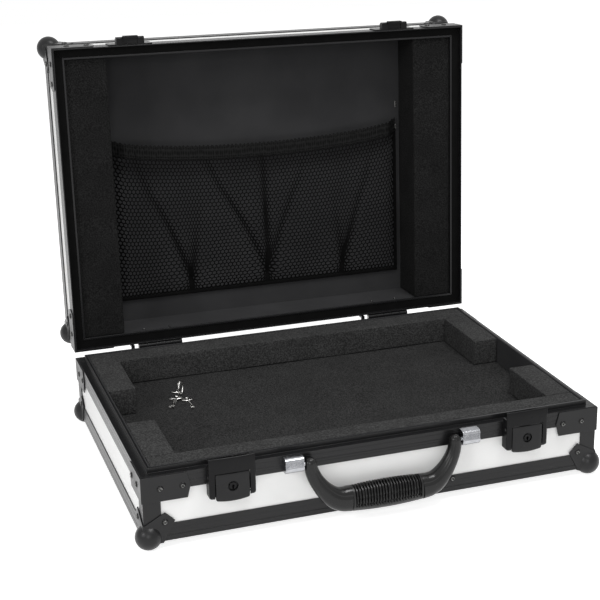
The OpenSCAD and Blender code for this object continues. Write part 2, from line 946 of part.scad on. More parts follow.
module key_rings() {
    color("silver") on_base() at_keys()
        translate([4.2, 9.8, ring_r + ring_wire_r])
            rotate([90, 0, 54])
                rotate_extrude()
                    translate([ring_r, 0])
                        circle(r = ring_wire_r, $fn = 16);
}

// ---- Lid ----

module lid_top_board() {
    color("gainsboro") on_lid()
        translate([skin_t - case_w / 2, skin_t, lid_board_z])
            cube([case_w - 2 * skin_t, case_d - 2 * skin_t, panel_t]);
}

module lid_wall_boards() {
    color("whitesmoke") on_lid()
        frame_bars(skin_t, board_in, web_z + web_t, lid_board_z);
}

module lid_edge_profiles() {
    color("dimgray") on_lid()
        translate([0, 0, lid_h])
            mirror([0, 0, 1])
                edge_angles();
}

module lid_corner_posts() {
    color("dimgray") on_lid()
        posts(lid_rim_leg, lid_h - edge_leg);
}

// Closing profile: outer leg, the groove's roof, inner lip and inner leg.
module lid_rim_profiles() {
    color("dimgray") on_lid()
        for (side = [0:3])
            union() {
                side_bar(side, 0, skin_t, 0, lid_rim_leg);
                side_bar(side, 0, lip_in, web_z, web_z + web_t);
                side_bar(side, lip_out, lip_in, lip_z, web_z + web_t);
                side_bar(side, board_in, tongue_in, web_z, lid_rim_leg);
            }
}

module lid_lining() {
    color("#303030") on_lid()
        for (side = [0:3])
            union() {
                side_bar(side, tongue_in, lining_in, web_z + web_t, lid_rim_leg);
                side_bar(side, board_in, lining_in, lid_rim_leg, lid_sheet_z);
            }
}

module lid_lining_sheet() {
    color("#333333") on_lid()
        translate([board_in - case_w / 2, board_in, lid_sheet_z])
            cube([case_w - 2 * board_in, case_d - 2 * board_in, sheet_t]);
}

module lid_ball_corners() {
    color("#2b2b2b") on_lid()
        for (x = [0, 1], y = [0, 1])
            at_corner(x, y)
                translate([0, 0, lid_h])
                    mirror([0, 0, 1])
                        ball_corner();
}

module lid_corner_braces() {
    color("#2b2b2b") on_lid()
        for (x = [0, 1], y = [0, 1])
            at_corner(x, y)
                translate([0, 0, 0.5])
                    corner_brace();
}

module lid_rivets() {
    color("#262626") on_lid() {
        translate([0, 0, lid_h])
            mirror([0, 0, 1])
                for (x = [0, 1], y = [0, 1])
                    at_corner(x, y)
                        corner_rivets(lid_h - brace_h / 2 - 0.5);
        for (x = sides, s = sides) {
            translate([x * latch_x + s * catch_rivet_x, lining_in, lid_rim_leg - 4])
                mirror([0, 1, 0])
                    rivet(inner_rivet_r);
            translate([x * hinge_x + s * hinge_rivet_x, case_d - lining_in, lid_rim_leg - 4])
                rivet(inner_rivet_r);
        }
    }
}

module lid_foam(x0) {
    translate([x0, lining_in, lid_foam_set])
        cube([lid_foam_w, case_d - 2 * lining_in, lid_sheet_z - lid_foam_set]);
}

module lid_foam_left() {
    color("#2e2e2e") on_lid() lid_foam(-inner_w / 2);
}

module lid_foam_right() {
    color("#2e2e2e") on_lid() lid_foam(inner_w / 2 - lid_foam_w);
}

// ---- Net pocket: bays between gathers, each bay two flat fields of mesh ----

// One flat field of mesh from (x0, d0) to (x1, d1), d the depth off the lid's sheet.
module net_field(x0, d0, x1, d1) {
    run = sqrt(pow(x1 - x0, 2) + pow(d1 - d0, 2));
    width = run - 2 * fold_gap;
    height = net_h - hem_h;
    cell_w = (width - net_t) / net_cols;
    cell_h = (height - net_t) / net_rows;
    translate([x0, 0, lid_sheet_z - d0])
        rotate([0, atan2(d1 - d0, x1 - x0), 0])
            translate([fold_gap, net_bottom - height, -net_t / 2])
                linear_extrude(net_t)
                    difference() {
                        square([width, height]);
                        for (i = [0:net_cols - 1], j = [0:net_rows - 1])
                            translate([i * cell_w + net_t, j * cell_h + net_t])
                                square([cell_w - net_t, cell_h - net_t]);
                    }
}

module net_pocket() {
    color("#1c1c1c") on_lid()
        for (b = [0:len(net_bays) - 2]) {
            x0 = (net_bays[b] - 0.5) * net_w;
            x2 = (net_bays[b + 1] - 0.5) * net_w;
            x1 = (x0 + x2) / 2;
            net_field(x0, net_pinch, x1, net_mouth);
            net_field(x1, net_mouth, x2, net_pinch);
        }
}

// Side and bottom tapes carry the net on the lid's sheet.
module net_tapes() {
    stand = net_pinch - net_t;
    color("#1a1a1a") on_lid() {
        for (s = sides)
            translate([s * (net_w - tape_w) / 2 - tape_w / 2, net_bottom - net_h + hem_h,
                       lid_sheet_z - stand])
                cube([tape_w, net_h - hem_h - tape_w - mitre_gap, stand]);
        translate([-net_w / 2, net_bottom - tape_w, lid_sheet_z - stand])
            cube([net_w, tape_w, stand]);
    }
}

module net_hem() {
    color("#161616") on_lid()
        translate([-net_w / 2, net_bottom - net_h, lid_sheet_z - net_mouth])
            cube([net_w, hem_h, hem_t]);
}

module net_staples() {
    color("silver") on_lid()
        for (step = [0, hem_h + 2 * staple_l])
            translate([net_w / 2 + 2 * staple_t, net_bottom - net_h - step, lid_sheet_z - staple_t])
                cube([2 * staple_t, staple_l, staple_t]);
}

base_bottom_board();
base_wall_boards();
base_edge_profiles();
base_corner_posts();
base_rim_profiles();
base_lining();
base_ball_corners();
base_corner_braces();
base_rivets();
foam_floor();
foam_front_strip();
foam_back_strip();
foam_side_blocks();
latch_housing_left();
latch_housing_right();
latch_pins();
latch_springs();
latch_lever_left();
latch_lever_right();
lock_cylinder_left();
lock_cylinder_right();
handle_bracket_left();
handle_bracket_right();
handle_arms();
handle_grip();
handle_pins();
hinge_base_leaves();
hinge_pins();
keys();
key_rings();
lid_top_board();
lid_wall_boards();
lid_edge_profiles();
lid_corner_posts();
lid_rim_profiles();
lid_lining();
lid_lining_sheet();
lid_ball_corners();
lid_corner_braces();
lid_rivets();
lid_foam_left();
lid_foam_right();
net_pocket();
net_tapes();
net_hem();
net_staples();
latch_catch_left();
latch_catch_right();
hinge_lid_leaves();
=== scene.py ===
"""Looks of an open laptop hard case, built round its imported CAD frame.

Lengths are millimetres in case coordinates: x from the middle, y back from the
front face and z up from the underside. The lid is drawn closed, with z counted
from the parting plane, and the handle hanging straight down from its pivots.
"""

import json
import logging
import math
from dataclasses import dataclass
from enum import Enum
from typing import Iterator, Optional, Sequence

import bmesh
import bpy
import numpy as np
from mathutils import Matrix, Vector

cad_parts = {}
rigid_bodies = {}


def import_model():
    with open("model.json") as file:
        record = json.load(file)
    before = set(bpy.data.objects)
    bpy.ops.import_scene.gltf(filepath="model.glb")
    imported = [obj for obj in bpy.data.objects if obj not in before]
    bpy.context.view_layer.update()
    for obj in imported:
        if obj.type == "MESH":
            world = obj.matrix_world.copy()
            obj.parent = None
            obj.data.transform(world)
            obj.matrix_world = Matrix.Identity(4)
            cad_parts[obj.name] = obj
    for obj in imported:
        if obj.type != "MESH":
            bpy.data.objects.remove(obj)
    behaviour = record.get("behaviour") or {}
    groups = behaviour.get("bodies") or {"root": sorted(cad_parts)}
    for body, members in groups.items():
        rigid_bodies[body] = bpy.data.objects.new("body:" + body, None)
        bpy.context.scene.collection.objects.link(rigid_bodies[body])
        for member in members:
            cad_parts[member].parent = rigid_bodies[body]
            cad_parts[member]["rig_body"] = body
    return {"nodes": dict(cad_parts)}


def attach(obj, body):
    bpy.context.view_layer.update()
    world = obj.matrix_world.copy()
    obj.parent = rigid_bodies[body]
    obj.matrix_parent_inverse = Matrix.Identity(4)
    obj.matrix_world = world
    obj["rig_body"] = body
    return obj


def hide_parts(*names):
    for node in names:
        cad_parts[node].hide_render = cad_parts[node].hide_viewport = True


LOG = logging.getLogger("laptop_case")
MM = 0.001
# Edges sharper than this are rounded, in radians.
BEVEL_ANGLE = math.radians(32)
# Edges of copied CAD nodes flatter than this, in degrees, are shaded smooth.
COPY_SMOOTH_DEGREES = 32.0
# Corners of a copied node this close, in metres, are one; faces this even are one.
MERGE_DISTANCE = 1e-6
FLAT_ANGLE = math.radians(0.5)
WHITE = (1, 1, 1, 1)
Tree = bpy.types.NodeTree
Socket = bpy.types.NodeSocket
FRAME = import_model()


# ---------------------------------------------------------------- measures


@dataclass(frozen=True)
class CaseSizes:
    """Measures that several pieces share, the same as in the part's source.

    Attributes:
        lid_open: How far the lid is open at rest, in degrees.
        skin: Thickness of the profiles' legs.
        wall: Thickness of the wall boards.
        lining: Thickness of the felt on the walls.
        sheet: Thickness of the felt on the lid's board.
        tongue_gap: Clearance between the base's tongue and the lid's groove.
        edge_leg: Width of an edge profile's legs.
        panel_in: Depth of the top and bottom boards' inner face.
        lift: Level of the underside above the floor, which the ball corners make.
        middle_y: Place of the frame's origin behind the front face.
        axis_y: Place of the lid's axis behind the front face.
        hinge_up: Height of the lid's axis above the parting plane.
        pivot_out: Place of the handle's axis before the front face.
        handle_rest: How far the handle is swung out at rest, in degrees.
    """

    width: float = 460.0
    depth: float = 327.0
    base_height: float = 66.0
    lid_height: float = 62.0
    lid_open: float = 92.0
    skin: float = 1.2
    wall: float = 6.3
    lining: float = 1.5
    sheet: float = 1.0
    tongue_height: float = 5.0
    tongue: float = 2.0
    tongue_gap: float = 0.5
    mitre_gap: float = 0.1
    edge_leg: float = 17.0
    rim_leg: float = 16.0
    lid_rim_leg: float = 20.0
    plate: float = 1.2
    panel_in: float = 5.2
    lift: float = 7.7
    middle_y: float = 193.21711
    axis_y: float = 330.4
    hinge_up: float = 3.2
    pivot_out: float = 7.0
    pivot_z: float = 57.5
    handle_rest: float = 6.3301

    @property
    def board_in(self) -> float:
        """Depth of the wall boards' inner face below the outer face."""
        return self.skin + self.wall

    @property
    def tongue_in(self) -> float:
        """Depth of the tongue's inner face."""
        return self.board_in + self.tongue

    @property
    def lining_in(self) -> float:
        """Depth of the lining's inner face."""
        return self.tongue_in + self.lining

    @property
    def rim_low(self) -> float:
        """Level of the base rim profile's lower edge."""
        return self.base_height - self.rim_leg

    @property
    def foam_top(self) -> float:
        """Level of the foam's top, flush with the tongue."""
        return self.base_height + self.tongue_height

    @property
    def lid_sheet_z(self) -> float:
        """Level of the sheet that lines the lid's board."""
        return self.lid_height - self.panel_in - self.sheet

    @property
    def lip_low(self) -> float:
        """Level of the lid lip's lower end, where the tongue's gap ends."""
        return self.tongue_height + self.tongue_gap

    @property
    def groove_top(self) -> float:
        """Level of the bottom of the lid's groove, which opens downwards."""
        return self.lip_low + 1.0

    @property
    def rim_roof(self) -> float:
        """Level of the upper side of the lid rim's web."""
        return self.lip_low + 2.5

    @property
    def inner_width(self) -> float:
        """Clear width between the linings."""
        return self.width - 2 * self.lining_in


CASE = CaseSizes()


def shifted(x: float, y: float, z: float) -> np.ndarray:
    """Returns the 4x4 matrix of a shift by (x, y, z)."""
    matrix = np.eye(4)
    matrix[:3, 3] = (x, y, z)
    return matrix


def turn_matrix(degrees: float, first: int) -> np.ndarray:
    """Returns the 4x4 matrix of a turn that carries axis first towards the next one."""
    c, s = math.cos(math.radians(degrees)), math.sin(math.radians(degrees))
    matrix = np.eye(4)
    matrix[first : first + 2, first : first + 2] = ((c, -s), (s, c))
    return matrix


def tipped(degrees: float) -> np.ndarray:
    """Returns the 4x4 matrix of a turn about X."""
    return turn_matrix(degrees, 1)


def spun(degrees: float) -> np.ndarray:
    """Returns the 4x4 matrix of a turn about Z."""
    return turn_matrix(degrees, 0)


def aimed(place: Sequence, way: Sequence, scale: float = 1.0) -> np.ndarray:
    """Returns the 4x4 matrix that seats a shape drawn along +Z.

    Args:
        place: Where its origin goes.
        way: Unit vector along X, Y or Z that its Z axis takes.
        scale: Its size.
    """
    way = np.asarray(way, float)
    across = np.roll(way, 1)
    matrix = np.eye(4)
    matrix[:3, :3] = scale * np.stack((across, np.cross(way, across), way), axis=1)
    matrix[:3, 3] = place
    return matrix


class Seat(Enum):
    """The body that a piece rides on, in whose coordinates it is drawn."""

    BASE = "base"
    LID = "lid"
    HANDLE = "handle"

    def matrix(self) -> np.ndarray:
        """Returns the matrix from this seat's coordinates to the frame, in mm."""
        to_frame = shifted(0, -CASE.middle_y, CASE.lift)
        if self is Seat.LID:
            axis_z = CASE.base_height + CASE.hinge_up
            return (
                to_frame
                @ shifted(0, CASE.axis_y, axis_z)
                @ tipped(-CASE.lid_open)
                @ shifted(0, -CASE.axis_y, -CASE.hinge_up)
            )
        if self is Seat.HANDLE:
            return (
                to_frame
                @ shifted(0, -CASE.pivot_out, CASE.pivot_z)
                @ tipped(-CASE.handle_rest)
            )
        return to_frame


# ------------------------------------------------------------------ shapes


@dataclass
class Shape:
    """Points and faces of one or more shells, in mm.

    Attributes:
        points: Corners, one row each.
        faces: Corner numbers of each face.
        uv: Place of each point on the surface, in mm, or None.
    """

    points: np.ndarray
    faces: list
    uv: Optional[np.ndarray] = None

    def moved(self, x: float = 0.0, y: float = 0.0, z: float = 0.0) -> "Shape":
        """Returns a copy shifted by (x, y, z)."""
        return Shape(self.points + np.array((x, y, z)), self.faces, self.uv)

    def mirrored(self, axis: int, about: float = 0.0) -> "Shape":
        """Returns a copy mirrored in the plane where an axis equals a value."""
        points = self.points.copy()
        points[:, axis] = 2 * about - points[:, axis]
        return Shape(points, [face[::-1] for face in self.faces], self.uv)

    def turned(self, matrix: np.ndarray) -> "Shape":
        """Returns a copy carried by a 4x4 matrix."""
        return Shape(self.points @ matrix[:3, :3].T + matrix[:3, 3], self.faces, self.uv)


def joined(shapes: Sequence[Shape]) -> Shape:
    """Joins shapes as separate shells of one.

    Args:
        shapes: The shapes, all with a uv or all without.

    Returns:
        One shape that holds them all.
    """
    faces, start = [], 0
    for shape in shapes:
        faces += [tuple(corner + start for corner in face) for face in shape.faces]
        start += len(shape.points)
    uv = None
    if all(shape.uv is not None for shape in shapes):
        uv = np.concatenate([shape.uv for shape in shapes])
    return Shape(np.concatenate([shape.points for shape in shapes]), faces, uv)


def grid_shape(
    points: np.ndarray,
    wrap_rows: bool = False,
    wrap_columns: bool = False,
    capped: bool = False,
    uv: Optional[np.ndarray] = None,
) -> Shape:
    """Makes a surface from a grid of points: each cell is one quad.

    Args:
        points: Array of rows x columns x 3.
        wrap_rows: Whether the last row joins the first.
        wrap_columns: Whether the last column joins the first.
        capped: Whether the first and last rows are closed by one face each.
        uv: Array of rows x columns x 2, in mm.

    Returns:
        The shape.
    """
    rows, columns = points.shape[:2]
    numbers = np.arange(rows * columns).reshape(rows, columns)
    down = np.vstack((numbers, numbers[:1])) if wrap_rows else numbers
    full = np.hstack((down, down[:, :1])) if wrap_columns else down
    quads = np.stack((full[:-1, :-1], full[1:, :-1], full[1:, 1:], full[:-1, 1:]), axis=-1)
    faces = [tuple(quad) for quad in quads.reshape(-1, 4).tolist()]
    if capped:
        faces.append(tuple(numbers[0].tolist()))
        faces.append(tuple(numbers[-1, ::-1].tolist()))
    flat_uv = None if uv is None else uv.reshape(-1, 2)
    return Shape(points.reshape(-1, 3), faces, flat_uv)


def extruded(outline: Sequence, x0: float, x1: float) -> Shape:
    """Extrudes an outline along X.

    Args:
        outline: Corners as (out from the front wall, up), so out is towards -Y.
        x0: Where the bar starts.
        x1: Where it ends.

    Returns:
        A closed bar.
    """
    corners = np.asarray(outline, float)
    ring = np.stack((np.zeros(len(corners)), -corners[:, 0], corners[:, 1]), axis=-1)
    ends = np.array([[x0, 0, 0], [x1, 0, 0]])
    return grid_shape(ring[None] + ends[:, None], wrap_columns=True, capped=True)


def mitred_bar(profile: np.ndarray, side: int) -> Shape:
    """Carries a profile along one side of the case between 45 degree mitres.

    At depth s the bar runs from s - half to half - s, so that its ends lie on
    the diagonal planes through the case's upright edges.

    Args:
        profile: Corners as (depth from the outer face, height).
        side: 0 front, 1 back, 2 left, 3 right.

    Returns:
        A closed bar whose uv is (distance along, distance round the profile).
    """
    along, away = (CASE.width, CASE.depth) if side < 2 else (CASE.depth, CASE.width)
    half = along / 2 - CASE.mitre_gap / 2
    s, z = profile[:, 0], profile[:, 1]
    ends = [np.stack((sign * (half - s), s - away / 2, z), axis=-1) for sign in (-1, 1)]
    steps = np.linalg.norm(np.diff(profile, axis=0), axis=1)
    around = np.concatenate(([0.0], np.cumsum(steps)))
    uv = np.stack([np.stack((end[:, 0], around), axis=-1) for end in ends])
    shape = grid_shape(np.stack(ends), wrap_columns=True, capped=True, uv=uv)
    return shape.turned(spun((0, 180, 270, 90)[side])).moved(y=CASE.depth / 2)


def four_bars(profile: Sequence) -> Shape:
    """Returns a profile carried along all four sides of the case."""
    section = np.array(profile, float)
    return joined([mitred_bar(section, side) for side in range(4)])


def full_turn(count: int) -> np.ndarray:
    """Returns angles at even steps round a full turn."""
    return np.linspace(0, 2 * math.pi, count, endpoint=False)


def oval(angle: np.ndarray, power: float) -> tuple:
    """Returns (across, up) on a superellipse of half size 1 at each angle."""
    c, s = np.cos(angle), np.sin(angle)
    return np.sign(c) * np.abs(c) ** power, np.sign(s) * np.abs(s) ** power


def bell(away: np.ndarray, width: float) -> np.ndarray:
    """Returns a bell curve: 1 where away is nothing, 0.37 where it is the width."""
    return np.exp(-((away / width) ** 2))


def revolved(profile: Sequence, sides: int) -> Shape:
    """Turns a profile round the Z axis.

    Args:
        profile: Corners as (radius, height), the first and last on the axis.
        sides: Number of sides.

    Returns:
        A closed shape.
    """
    radius, height = np.asarray(profile, float).T
    angle = full_turn(sides)
    ring = np.stack((np.cos(angle), np.sin(angle)), axis=-1)
    points = np.empty((len(radius), sides, 3))
    points[..., :2] = np.maximum(radius, 1e-4)[:, None, None] * ring
    points[..., 2] = height[:, None]
    return grid_shape(points, wrap_columns=True, capped=True)


def welded_shape(shape: Shape) -> Shape:
    """Returns a shape whose points at the same place are one."""
    _, first, back = np.unique(
        np.round(shape.points, 4), axis=0, return_index=True, return_inverse=True
    )
    back = back.ravel()
    faces = [tuple(back[list(face)].tolist()) for face in shape.faces]
    return Shape(shape.points[first], faces)


def softened_box(low: Sequence, high: Sequence, radius: float, step: float) -> Shape:
    """Makes a block with round edges: each point is the nearest point of the
    block shrunk by the radius, plus the radius towards the point on the box.

    Args:
        low: Lowest corner.
        high: Highest corner.
        radius: Radius of the edges.
        step: Longest side of a cell on the flat faces.

    Returns:
        A closed shape.
    """
    low, high = np.asarray(low, float), np.asarray(high, float)
    corner = radius * np.array((0, 0.35, 0.7, 1.0))
    lines = []
    for axis in range(3):
        cells = max(2, int(math.ceil((high[axis] - low[axis] - 2 * radius) / step)))
        inner = np.linspace(low[axis] + radius, high[axis] - radius, cells + 1)[1:-1]
        lines.append(np.concatenate((low[axis] + corner, inner, high[axis] - corner[::-1])))
    shells = []
    for axis in range(3):
        a, b = (axis + 1) % 3, (axis + 2) % 3
        for value in (low[axis], high[axis]):
            grid = np.empty((len(lines[a]), len(lines[b]), 3))
            grid[..., axis] = value
            grid[..., a] = lines[a][:, None]
            grid[..., b] = lines[b][None, :]
            shells.append(grid_shape(grid))
    shell = joined(shells)
    inner = np.clip(shell.points, low + radius, high - radius)
    away = shell.points - inner
    rounded = inner + radius * away / np.linalg.norm(away, axis=1, keepdims=True)
    return welded_shape(Shape(rounded, shell.faces))


def spline(stations: Sequence, count: int) -> np.ndarray:
    """Samples a Catmull-Rom curve through stations of any dimension.

    Args:
        stations: One row per station.
        count: Number of samples.

    Returns:
        One row per sample.
    """
    p = np.asarray(stations, float)
    p = np.vstack((2 * p[0] - p[1], p, 2 * p[-1] - p[-2]))
    t = np.linspace(0, len(p) - 3 - 1e-9, count)
    k = t.astype(int)
    f = (t - k)[:, None]
    a, b, c, d = p[k], p[k + 1], p[k + 2], p[k + 3]
    return 0.5 * (
        2 * b + (c - a) * f + (2 * a - 5 * b + 4 * c - d) * f**2 + (3 * b - a - 3 * c + d) * f**3
    )


def smooth_step(low: float, high: float, value: np.ndarray) -> np.ndarray:
    """Returns 0 below low, 1 above high and a smooth rise between."""
    t = np.clip((value - low) / (high - low), 0, 1)
    return t * t * (3 - 2 * t)


# --------------------------------------------------------------- materials


def linear(hex_colour: str) -> tuple:
    """Turns an sRGB hex colour into a linear RGBA tuple.

    Args:
        hex_colour: Six digits after a hash sign.

    Returns:
        Red, green, blue and an alpha of 1.
    """
    digits = hex_colour.lstrip("#")
    values = [int(digits[i : i + 2], 16) / 255 for i in (0, 2, 4)]
    channels = [v / 12.92 if v <= 0.04045 else ((v + 0.055) / 1.055) ** 2.4 for v in values]
    return (*channels, 1.0)


def add_node(
    tree: Tree, kind: str, inputs: Optional[dict] = None, **settings: object
) -> bpy.types.Node:
    """Adds one node with its settings and links.

    Args:
        tree: The node tree.
        kind: The node's type name.
        inputs: Values, or sockets to link from, by input name or number.
        **settings: Attributes of the node.

    Returns:
        The node.
    """
    node = tree.nodes.new(kind)
    for name, value in settings.items():
        setattr(node, name, value)
    for name, value in (inputs or {}).items():
        if isinstance(value, Socket):
            tree.links.new(value, node.inputs[name])
        else:
            node.inputs[name].default_value = value
    return node


def per_metre(size_mm: float) -> float:
    """Returns the texture scale at which one feature spans a size in mm."""
    return 1000.0 / size_mm


def add_noise(tree: Tree, where: Socket, scale: float, detail: float) -> Socket:
    """Adds a noise texture and returns its value."""
    inputs = {"Vector": where, "Scale": scale, "Detail": detail}
    return add_node(tree, "ShaderNodeTexNoise", inputs).outputs["Fac"]


def add_range(
    tree: Tree, value: Socket, source: Sequence = (0.0, 1.0), target: Sequence = (0.0, 1.0)
) -> Socket:
    """Adds a clamped map from one range of values to another.

    Args:
        tree: The node tree.
        value: The value to map.
        source: Its two ends.
        target: What they become.

    Returns:
        The mapped value.
    """
    inputs = {"Value": value, 1: source[0], 2: source[1], 3: target[0], 4: target[1]}
    return add_node(tree, "ShaderNodeMapRange", inputs).outputs[0]


def add_ray_test(tree: Tree, *kinds: str) -> Socket:
    """Adds a test that gives 1 to rays of the named kinds, and returns its result."""
    path = add_node(tree, "ShaderNodeLightPath").outputs
    found = path[kinds[0]]
    for kind in kinds[1:]:
        both = add_node(tree, "ShaderNodeMath", {0: found, 1: path[kind]}, operation="MAXIMUM")
        found = both.outputs[0]
    return found


def emptied_tree(owner: bpy.types.ID) -> Tree:
    """Returns the node tree of a new material or world, without its first nodes."""
    owner.use_nodes = True
    owner.node_tree.nodes.clear()
    return owner.node_tree


@dataclass(frozen=True)
class Finish:
    """A surface with a mottled colour and a fine relief.

    Attributes:
        name: Plain name of the material and how it was made.
        colour: Main sRGB colour.
        second: Colour that the mottling mixes in.
        mottle_mm: Size of the mottling.
        mottle_share: How much of the second colour shows at most.
        grain_mm: Size of the relief.
        grain_depth_mm: Depth of the relief.
        grain_strength: Strength of the relief's shading.
        roughness: Microscopic roughness.
        roughness_spread: How much the roughness varies over the surface.
        metallic: 1 for bare metal.
        specular: Strength of the mirrored light, 0.5 as the index of refraction has it.
        ior: Index of refraction.
    """

    name: str
    colour: str
    second: str
    mottle_mm: float = 20.0
    mottle_share: float = 0.5
    grain_mm: float = 0.5
    grain_depth_mm: float = 0.05
    grain_strength: float = 0.3
    roughness: float = 0.5
    roughness_spread: float = 0.05
    metallic: float = 0.0
    specular: float = 0.5
    ior: float = 1.5

    def where(self, tree: Tree) -> Socket:
        """Returns the coordinates that the patterns read."""
        return add_node(tree, "ShaderNodeTexCoord").outputs["Object"]

    def relief(self, tree: Tree, where: Socket) -> Socket:
        """Returns the height of the fine relief."""
        return add_noise(tree, where, per_metre(self.grain_mm), 3.0)

    def blend(self, tree: Tree, share: Socket) -> Socket:
        """Returns the main colour, blended into the second by a share."""
        inputs = {0: share, 6: linear(self.colour), 7: linear(self.second)}
        return add_node(tree, "ShaderNodeMix", inputs, data_type="RGBA").outputs[2]

    def tint(self, tree: Tree, where: Socket, relief: Socket) -> Socket:
        """Returns the colour over the surface."""
        mottle = add_noise(tree, where, per_metre(self.mottle_mm), 4.0)
        return self.blend(tree, add_range(tree, mottle, (0.35, 0.7), (0.0, self.mottle_share)))

    def build(self) -> bpy.types.Material:
        """Makes the material.

        Returns:
            The Blender material.
        """
        material = bpy.data.materials.new(self.name)
        tree = emptied_tree(material)
        where = self.where(tree)
        relief = self.relief(tree, where)
        wear = add_noise(tree, where, per_metre(self.mottle_mm * 0.6), 3.0)
        low, high = self.roughness - self.roughness_spread, self.roughness + self.roughness_spread
        rough = add_range(tree, wear, (0.3, 0.7), (low, high))
        depth = self.grain_depth_mm * MM
        inputs = {"Strength": self.grain_strength, "Distance": depth, "Height": relief}
        bump = add_node(tree, "ShaderNodeBump", inputs)
        inputs = {
            "Base Color": self.tint(tree, where, relief),
            "Metallic": self.metallic,
            "Roughness": rough,
            "Normal": bump.outputs[0],
            "IOR": self.ior,
            "Specular IOR Level": self.specular,
        }
        shader = add_node(tree, "ShaderNodeBsdfPrincipled", inputs)
        add_node(tree, "ShaderNodeOutputMaterial", {"Surface": shader.outputs[0]})
        return material


@dataclass(frozen=True)
class LaidFinish(Finish):
    """A finish whose patterns lie along the piece, on its own uv."""

    def where(self, tree: Tree) -> Socket:
        """Returns the piece's own uv, which counts mm along and across."""
        return add_node(tree, "ShaderNodeUVMap", uv_map="mm").outputs[0]


@dataclass(frozen=True)
class DrawnFinish(LaidFinish):
    """An extruded or drawn surface: die lines run along the piece."""

    def relief(self, tree: Tree, where: Socket) -> Socket:
        """Returns lines that are long along the bar and fine across it."""
        scale = (0.01, 1.0 / self.grain_mm, 1.0)
        stretched = add_node(tree, "ShaderNodeMapping", {"Vector": where, "Scale": scale})
        return add_noise(tree, stretched.outputs[0], 1.0, 3.0)


@dataclass(frozen=True)
class CellularFinish(Finish):
    """Foam cut with a knife: open cells whose shade in the pits and light on the struts are painted as dark
    and light specks.

    Attributes:
        pit_shade: Brightness of the painted shade in the pits, as a share of the colour.
        strut_light: Brightness of the painted light on the struts, as a share of the colour.
    """

    pit_shade: float = 0.62
    strut_light: float = 1.45

    def relief(self, tree: Tree, where: Socket) -> Socket:
        """Returns round pits, one for each cell of the foam."""
        inputs = {"Vector": where, "Scale": per_metre(self.grain_mm)}
        return add_node(tree, "ShaderNodeTexVoronoi", inputs).outputs["Distance"]

    def tint(self, tree: Tree, where: Socket, relief: Socket) -> Socket:
        """Returns the foam's colour: painted shade in the pits, painted light on the struts, and a slow
        mottling.
        """
        slow = super().tint(tree, where, relief)
        specks = add_noise(tree, where, per_metre(self.grain_mm * 0.9), 2.0)
        share = add_range(tree, specks, (0.38, 0.66), (self.pit_shade, self.strut_light))
        scaled = add_node(tree, "ShaderNodeVectorMath", {0: slow, "Scale": share}, operation="SCALE")
        return scaled.outputs[0]


@dataclass(frozen=True)
class WovenFinish(LaidFinish):
    """A close double knit: small dark holes between lighter loops."""

    def relief(self, tree: Tree, where: Socket) -> Socket:
        """Returns the knit's height: low at each hole, one every grain_mm, high between."""
        inputs = {"Vector": where, "Scale": 1.0 / self.grain_mm, "Randomness": 0.3}
        holes = add_node(tree, "ShaderNodeTexVoronoi", inputs, voronoi_dimensions="2D")
        return holes.outputs["Distance"]

    def tint(self, tree: Tree, where: Socket, relief: Socket) -> Socket:
        """Returns the holes' colour where the relief is low, the loops' where it is high."""
        return self.blend(tree, add_range(tree, relief, (0.2, 0.5)))


